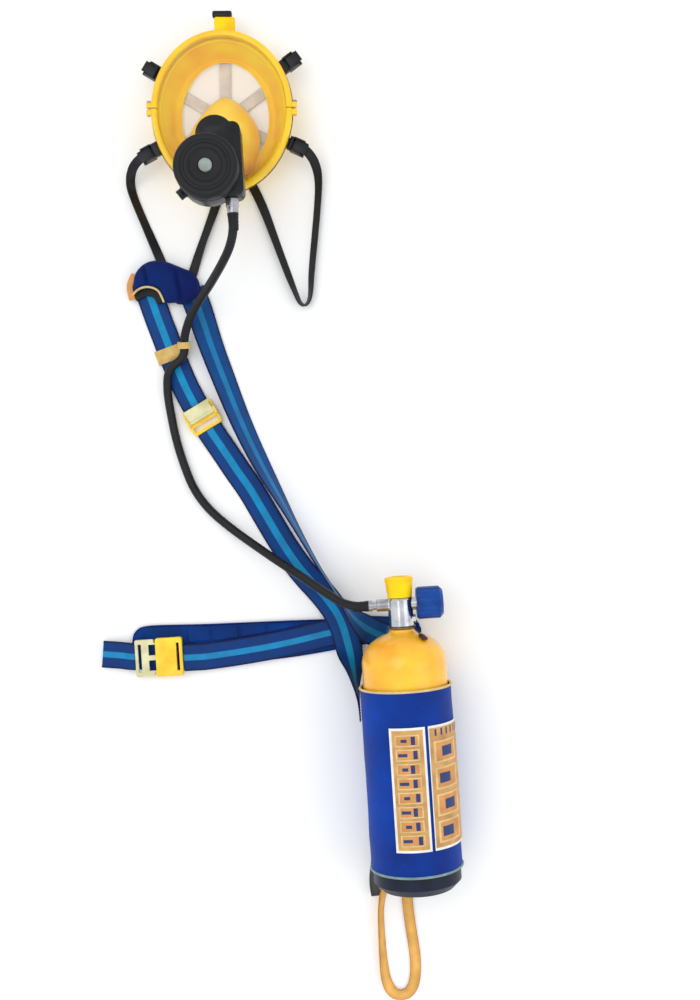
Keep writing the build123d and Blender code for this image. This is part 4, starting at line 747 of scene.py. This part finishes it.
# painted shade: a black strip under the piping where the strap goes in under the pad
paintedMouthShade = strapAlong(mouthSet["shade"], 11, 5.0)
finishPiece(paintedMouthShade, "shoulderMouthPaintedShade", "blackRubber", sharp=50)
lining = strapAlong(mouthSet["lining"], 9, 4.2)
addSubdivision(lining)
finishPiece(lining, "shoulderLining", "liningTan", sharp=60)
for name, outline, height, radius in (("shoulderEdge", shoulderSet["outline"], 12.5, 1.1),
                                      ("beltEdge", beltSet["outline"], 3.0, 1.3)):
    pipingAlong([(x, y, height) for x, y in outline], radius, name, "padNavy", closed=True)
print("pads made")

# pouch
cylinderAxis = (180, 0, 70)
pouchSet = {"radius": 62.1, "low": -486.6, "high": -245.4, "wall": 2.0, "ripple": 1.7, "rippleSize": 0.05}
steps = 48
rise = (pouchSet["high"] - pouchSet["low"]) / steps
pouchLine = [(pouchSet["radius"], pouchSet["low"] + rise * i) for i in range(steps + 1)]
pouch = turnedPiece(pouchLine, cylinderAxis, (0, 1, 0), steps=96)
ripple = bpy.data.textures.new("pouchRipple", "CLOUDS")
ripple.noise_scale = pouchSet["rippleSize"]
addModifier(pouch, "DISPLACE", texture=ripple, strength=pouchSet["ripple"] * mm, mid_level=0.5)
addModifier(pouch, "SOLIDIFY", thickness=pouchSet["wall"] * mm, offset=-1)
finishPiece(pouch, "pouchSleeve", "pouchBlue", stands=("pouch_sleeve",), sharp=60)


def rimProfile(middle, radius, half, high):
    angles = [math.tau * i / 10 for i in range(11)]
    return [(radius + half * math.cos(a), middle + high * math.sin(a)) for a in angles]


rimSet = {"pouchRimTop": (-243.8, "bindingCream", ("pouch_bindings",)), "pouchRimBase": (-488.2, "bindingTeal", ())}
for name, (middle, finish, stands) in rimSet.items():
    rim = turnedPiece(rimProfile(middle, 62.1, 1.9, 1.7), cylinderAxis, (0, 1, 0), steps=96)
    finishPiece(rim, name, finish, stands=stands, sharp=70)


def curvedSheet(low, high, start, end, radius, thick):
    # a patch that follows the round of the pouch, angles measured up from the +X side
    length = max(1, round((high - low) / 6))
    points = [(radius, low + (high - low) * i / length, 0) for i in range(length + 1)]
    line = curveThrough(points, kind="POLY", order=2)
    only(line)
    bpy.ops.object.convert(target="MESH")
    patch = bpy.context.object
    turns = max(2, round((end - start) / 2))
    addModifier(patch, "SCREW", angle=-math.radians(end - start), steps=turns, render_steps=turns, axis="Y",
                use_merge_vertices=False)
    applyAll(patch)
    patch.rotation_euler = (0, -math.radians(start), 0)
    patch.location = (cylinderAxis[0] * mm, 0, cylinderAxis[2] * mm)
    applyAll(patch)
    addModifier(patch, "SOLIDIFY", thickness=thick * mm, offset=0)
    applyAll(patch)
    return patch


def joinPieces(parts):
    only(parts[0])
    for part in parts:
        part.select_set(True)
    bpy.ops.object.join()
    return bpy.context.object


patchSet = {"low": -454.5, "high": -290.5, "tall": (72.0, 116.0), "wrapped": (6.0, 68.0)}
borders, grounds, pale, infill, bars = [], [], [], [], []
for start, end in (patchSet["tall"], patchSet["wrapped"]):
    edge = 3.2 if start > 70 else 1.4
    borders.append(curvedSheet(patchSet["low"], patchSet["high"], start, end, 63.3, 0.4))
    grounds.append(curvedSheet(patchSet["low"] + 3.4, patchSet["high"] - 3.4, start + edge, end - edge, 63.65, 0.5))
for i in range(8):
    low = patchSet["low"] + 8 + i * 18.8
    pale.append(curvedSheet(low, low + 15.4, 80, 109, 63.95, 0.3))
    infill.append(curvedSheet(low + 1.6, low + 13.8, 81.6, 107.4, 64.08, 0.16))
    bars.append(curvedSheet(low + 2.2, low + 13.2, 83 + (i % 3) * 2, 88 + (i % 3) * 2, 64.15, 0.3))
    bars.append(curvedSheet(low + 5.6, low + 9.8, 95, 106 - (i % 2) * 4, 64.15, 0.3))
for i in range(4):
    low = patchSet["low"] + 9 + i * 35
    pale.append(curvedSheet(low, low + 29, 22, 62, 63.95, 0.3))
    infill.append(curvedSheet(low + 2.4, low + 26.6, 25, 59, 64.08, 0.16))
    bars.append(curvedSheet(low + 8, low + 21, 38 - (i % 2) * 6, 56 - (i % 2) * 6, 64.15, 0.3))
for i in range(6):
    bars.append(curvedSheet(patchSet["high"] - 14, patchSet["high"] - 5, 12 + i * 9, 14.5 + i * 9, 63.95, 0.3))
finishPiece(joinPieces(pale), "patchBlocks", "bindingCream", sharp=60)
finishPiece(joinPieces(infill), "patchInfill", "liningTan", sharp=60)
finishPiece(joinPieces(borders), "patchBorder", "printWhite", sharp=60)
finishPiece(joinPieces(grounds), "patchGround", "panelGold", stands=("pouch_patches",), sharp=60)
finishPiece(joinPieces(bars), "patchBars", "printNavy", sharp=60)
print("pouch made")

# mask
maskSpot = {"x": -20, "y": 560, "turn": -3.3}
faceLevels = [(7.2, 61, 80, 71), (5.2, 64, 83, 76), (4.3, 69, 86, 85), (7.5, 74, 89, 91), (16, 78, 92, 96),
              (25, 82, 95, 101), (38, 88.5, 100.5, 107.5), (46, 92, 103, 111), (49.0, 92.6, 103.6, 111.6),
              (49.5, 90, 101, 109), (49.4, 84.5, 95.5, 103.5)]
faceBlank = eggLoft(faceLevels, maskSpot)
inEditMode(faceBlank, cleanUp)
addModifier(faceBlank, "SOLIDIFY", thickness=2.2 * mm, offset=-1)
addSubdivision(faceBlank)
finishPiece(faceBlank, "faceBlank", "maskYellow", stands=("mask_face",), sharp=60)

buckleSpots = {"TempleLeft": (-115, 625), "TempleRight": (80, 626), "NeckLeft": (-129, 509), "NeckRight": (82, 506)}
tabSet = {"faceHalf": 87.5, "faceAbove": 99.5, "faceBelow": 106.5, "past": 5, "edge": 1.1,
          "tab": {"size": (13, 2.6), "height": 37.7}, "wedge": {"size": (19, 9), "height": 38.6}}
for name, (x, y) in buckleSpots.items():
    angle = math.atan2(y - maskSpot["y"], x - maskSpot["x"])
    reach = math.hypot(x - maskSpot["x"], y - maskSpot["y"]) + tabSet["past"]
    faceTall = tabSet["faceAbove"] if y > maskSpot["y"] else tabSet["faceBelow"]
    inner = 1 / math.hypot(math.cos(angle) / tabSet["faceHalf"], math.sin(angle) / faceTall)
    for label, start, end, finish, slot in (("tab", inner, reach, "blackRubber", "black_rubber"),
                                            ("wedge", inner + 9, reach - 14.6, "blackPlastic", "black_plastic")):
        middle = (start + end) / 2
        place = (maskSpot["x"] + middle * math.cos(angle), maskSpot["y"] + middle * math.sin(angle),
                 tabSet[label]["height"])
        tab = roundedBlock(place, (end - start, *tabSet[label]["size"]), tabSet["edge"], math.degrees(angle), 3)
        finishPiece(tab, label + name, finish)
topTab = roundedBlock((-13, 678, 41), (38, 27, 8.6), 3.0, -3.3, 3)
for vertex in topTab.data.vertices:
    if vertex.co.y > 0.0:
        vertex.co.x *= 0.76
finishPiece(topTab, "tabTop", "maskYellow")
topBar = roundedBlock((-12.5, 695.4, 40.5), (27, 9.0, 9.6), 2.4, -3.3, 3)
finishPiece(topBar, "topBar", "blackPlastic")

frameLevels = [(51.6, 96.8, 107.8, 115.8), (59.4, 96.8, 107.8, 115.8), (61.2, 95.8, 106.8, 114.8),
               (62.0, 93.6, 104.6, 112.6), (62.0, 90.9, 101.9, 109.9), (61.0, 88.9, 99.9, 107.9),
               (58.0, 88.2, 99.2, 107.2), (51.2, 88.2, 99.2, 107.2), (50.1, 89.6, 100.6, 108.6),
               (50.1, 95.2, 106.2, 114.2), (51.6, 96.8, 107.8, 115.8)]
splitTurn = math.radians(maskSpot["turn"])
clampSet = {"out": 98.6, "apart": 5, "height": 56, "size": (9.5, 7.6, 7.8), "edge": 1.2, "slit": 0.8}
splitNormal = Vector((-math.sin(splitTurn), math.cos(splitTurn), 0))
for name, node, side in (("frameUpper", "frame_upper", 1), ("frameLower", "frame_lower", -1)):
    half = eggLoft(frameLevels, maskSpot, 96)

    def cutHalf():
        cleanUp()
        bpy.ops.mesh.select_all(action="SELECT")
        middle = Vector((maskSpot["x"] * mm, maskSpot["y"] * mm, 0)) + splitNormal * side * clampSet["slit"] * mm
        bpy.ops.mesh.bisect(plane_co=middle, plane_no=splitNormal * side, use_fill=True, clear_inner=True)

    inEditMode(half, cutHalf)
    ears = [half]
    for away in (-1, 1):
        ear = Vector((away * clampSet["out"], side * clampSet["apart"], 0))
        x = maskSpot["x"] + ear.x * math.cos(splitTurn) - ear.y * math.sin(splitTurn)
        y = maskSpot["y"] + ear.x * math.sin(splitTurn) + ear.y * math.cos(splitTurn)
        block = roundedBlock((x, y, clampSet["height"]), clampSet["size"], clampSet["edge"], maskSpot["turn"], 2)
        applyAll(block)
        ears.append(block)
    finishPiece(joinPieces(ears), name, "frameYellow", stands=(node,), sharp=40)

gasket = eggLoft([(50.2, 96.9, 107.9, 115.9), (50.2, 98.0, 109.0, 117.0), (51.4, 98.0, 109.0, 117.0),
                  (51.4, 96.9, 107.9, 115.9)], maskSpot, 96)
inEditMode(gasket, cleanUp)
finishPiece(gasket, "frameGasket", "gasketBrown", sharp=50)

visorLevels = [(50.4, 87.7, 98.7, 106.7), (62, 87.5, 98.5, 106.5), (68, 86.6, 97.0, 104.2), (74, 85.2, 94.6, 100.8),
               (80, 82.8, 91.4, 96.4), (86, 79.8, 88, 91.2), (92, 75.8, 83.8, 83.8), (98, 69.5, 77.5, 75.5),
               (103, 62, 70, 66.5), (107, 54, 62, 57.5), (110, 44, 51, 48), (111.5, 33, 39, 37),
               (112, 20, 24, 22), (112, 7, 8, 7.6)]
visor = eggLoft(visorLevels, maskSpot, 96)


def closeTop():
    bpy.ops.mesh.select_all(action="DESELECT")
    bpy.ops.object.mode_set(mode="OBJECT")
    for vertex in visor.data.vertices[-96:]:
        vertex.select = True
    bpy.ops.object.mode_set(mode="EDIT")
    bpy.ops.mesh.edge_face_add()
    bpy.ops.mesh.select_all(action="SELECT")
    cleanUp()


inEditMode(visor, closeTop)
addModifier(visor, "SOLIDIFY", thickness=2.2 * mm, offset=-1)
applyAll(visor)
visorHoles = {"port": (-24, 498, 26.4), "exhale": (-30, 462, 14.4)}
for x, y, radius in visorHoles.values():
    bpy.ops.mesh.primitive_cylinder_add(vertices=72, radius=radius * mm, depth=80 * mm,
                                        location=(x * mm, y * mm, 103 * mm))
    cutter = bpy.context.object
    addModifier(visor, "BOOLEAN", object=cutter, operation="DIFFERENCE")
    applyAll(visor)
    bpy.data.objects.remove(cutter)
finishPiece(visor, "visorLens", "visorClear", stands=("visor",), sharp=35)

cupSpot = {"x": -26.3, "y": 503.3, "turn": -3.3, "tall": 88, "lean": 4.6, "swell": 1.1, "waist": 0.75}
cupLevels = [(10.5, 47, 88, 32), (14, 46, 87, 31), (24, 44, 81, 31), (38, 39, 70, 31), (50, 32.5, 52, 30),
             (59, 27.4, 39, 28.2), (61.2, 25, 34, 26)]
innerCup = eggLoft(cupLevels, cupSpot)
for vertex in innerCup.data.vertices:
    # towards the brow the cup leans to the middle and narrows to a ridge
    rise = (vertex.co.y / mm - cupSpot["y"]) / cupSpot["tall"]
    if rise > 0:
        spread = 1 + cupSpot["swell"] * rise * (cupSpot["waist"] - rise)
        vertex.co.x = (cupSpot["x"] + cupSpot["lean"] * rise) * mm + (vertex.co.x - cupSpot["x"] * mm) * spread
inEditMode(innerCup, cleanUp)
addModifier(innerCup, "SOLIDIFY", thickness=1.8 * mm, offset=-1)
addSubdivision(innerCup)
finishPiece(innerCup, "innerCup", "innerYellow", stands=("inner_mask",), sharp=60)

portProfile = [(25.8, 86), (27.2, 86.6), (27.2, 90.4), (26.2, 91.2), (26.2, 95.8), (27.2, 96.6), (27.2, 100.4),
               (26.2, 101.2), (26.2, 114.5), (27.4, 115.6), (27.4, 120.4), (26.4, 121.6), (25.0, 121.9), (25.0, 86),
               (25.8, 86)]
collar = turnedPiece(portProfile, (-24, 498, 0), (0, 0, 1), steps=96)
finishPiece(collar, "portCollar", "blackRubber", sharp=35)
print("mask made")

# demand valve
drumAxis = (-35, 449, 0)
coverProfile = [(40.4, 160.2), (41.6, 160.2), (41.6, 166), (41.0, 166.8), (41.6, 167.6), (41.6, 181.5), (40.2, 184.6),
                (37.4, 186), (33.4, 186), (31.6, 184.4), (28.8, 184.4), (27.0, 185.8), (23.0, 185.8), (20.4, 183.6),
                (19.0, 183.2), (9.8, 183.2), (9.5, 182.4), (9.5, 180.2), (20, 180.2), (36.1, 181), (36.1, 168.3),
                (40.4, 168.3), (40.4, 160.2)]
cover = turnedPiece(coverProfile, drumAxis, (0, 0, 1), steps=96)
addModifier(cover, "BEVEL", width=0.45 * mm, segments=2, limit_method="ANGLE", angle_limit=math.radians(25))
finishPiece(cover, "valveCover", "blackRubber", stands=("dv_cover",), sharp=30)
buttonProfile = [(0, 172.1), (4, 172.1), (4, 175.2), (8.9, 175.2), (8.9, 184.2), (8.3, 185.4), (7, 186), (5.2, 185.7),
                 (0, 185.1)]
button = turnedPiece(buttonProfile, drumAxis, (0, 0, 1), steps=48)
finishPiece(button, "purgeButton", "buttonGrey", "purge_unit", ("dv_button",), 35)
gripSet = {"count": 24, "radius": 41.35, "height": 174.5, "size": (0.9, 3.4, 10), "edge": 0.4}
ribs = []
for i in range(gripSet["count"]):
    angle = math.tau * i / gripSet["count"]
    place = (drumAxis[0] + gripSet["radius"] * math.cos(angle), drumAxis[1] + gripSet["radius"] * math.sin(angle),
             gripSet["height"])
    rib = roundedBlock(place, gripSet["size"], gripSet["edge"], math.degrees(angle), 2)
    applyAll(rib)
    ribs.append(rib)
finishPiece(joinPieces(ribs), "valveCoverGrips", "blackRubber")

# gauge cover and dial marks
bootProfile = [(14.9, -123.6), (16.4, -123.6), (16.8, -121.6), (16.3, -120.4), (17.0, -119.2), (16.6, -118),
               (17.2, -116.8), (18.4, -106), (19.6, -99.5), (18.9, -96.6), (15.6, -95.4), (12.6, -95.1),
               (11.6, -95.8), (11.6, -98.6), (14.9, -98.6), (14.9, -123.6)]
boot = turnedPiece(bootProfile, cylinderAxis, (0, 1, 0), steps=72)
finishPiece(boot, "gaugeBoot", "maskYellow", stands=("gauge_boot",), sharp=35)
tickSet = {"count": 11, "start": 210, "step": 24, "radius": 9.6, "level": -105.8, "size": (2.2, 0.2, 0.6),
           "bold": 1.1}
ticks = []
for i in range(tickSet["count"]):
    angle = math.radians(tickSet["start"] - tickSet["step"] * i)
    spot = (cylinderAxis[0] + tickSet["radius"] * math.cos(angle), tickSet["level"],
            cylinderAxis[2] + tickSet["radius"] * math.sin(angle))
    bpy.ops.mesh.primitive_cube_add(size=1, location=[c * mm for c in spot], rotation=(0, -angle, 0))
    tick = bpy.context.object
    long, deep, thin = tickSet["size"]
    tick.scale = (long * mm, deep * mm, (thin if i % 5 else tickSet["bold"]) * mm)
    ticks.append(tick)
    applyAll(tick)
finishPiece(joinPieces(ticks), "dialTicks", "needleBlack")
print("demand valve and gauge made")

# moulded pieces that keep the frame's shape, with softened edges
mouldedSet = {
    "dv_housing": ("valveHousing", 2.0, "blackPlastic", "set"),
    "dv_bypass": ("bypassKnob", 0.7, "blackPlastic", "bypass_unit"),
    "port_housing": ("portHousing", 1.0, "blackPlastic", "set"),
    "buckle_bases": ("buckleBases", 0.8, "blackPlastic", "set"),
    "lever_temple_left": ("leverTempleLeft", 0.6, "blackPlastic", "temple_lever_left"),
    "lever_temple_right": ("leverTempleRight", 0.6, "blackPlastic", "temple_lever_right"),
    "lever_neck_left": ("leverNeckLeft", 0.6, "blackPlastic", "neck_lever_left"),
    "lever_neck_right": ("leverNeckRight", 0.6, "blackPlastic", "neck_lever_right"),
    "head_harness": ("headNet", 0.7, "netPale", "set"),
    "handwheel": ("handWheel", 0.9, "wheelBlue", "handwheel_unit"),
    "strap_keeper": ("strapKeeper", 0.8, "keeperTan", "set"),
    "ladder_lock": ("ladderLock", 0.9, "buckleYellow", "set"),
    "lock_cam": ("lockCam", 0.6, "palePlastic", "cam_unit"),
    "buckle_female": ("buckleSocket", 0.8, "buckleYellow", "set"),
    "buckle_male": ("bucklePlug", 0.7, "palePlastic", "belt_plug"),
    "seal_tag": ("sealTag", 0.4, "tagBrown", "set"),
}
for node, (name, edge, finish, body) in mouldedSet.items():
    finishPiece(softenedCopy(node, edge), name, finish, body, (node,), 35)

# frame pieces that stay as they are, with their finishes
keptSet = {
    "yellowPaint": ["cylinder_shell"], "bootBlack": ["cylinder_boot"], "chrome": ["valve_body", "reducer_cap"],
    "brass": ["valve_plug", "reducer_piston"], "dialWhite": ["gauge_dial"], "needleBlack": ["gauge_needle"],
    "steel": ["valve_spindle", "gauge_case", "reducer_spring", "hose_plug", "coupling_sleeve", "hose_ferrule",
              "dv_spring", "dv_lever", "frame_screws"],
    "lensClear": ["gauge_lens"], "blackRubber": ["dv_diaphragm", "exhale_disc"], "blackPlastic": ["exhale_cover"],
}
for finish, names in keptSet.items():
    for name in names:
        node = cadNodes[name]
        node.data.materials.clear()
        node.data.materials.append(materials[finish])
print("moulded pieces finished")
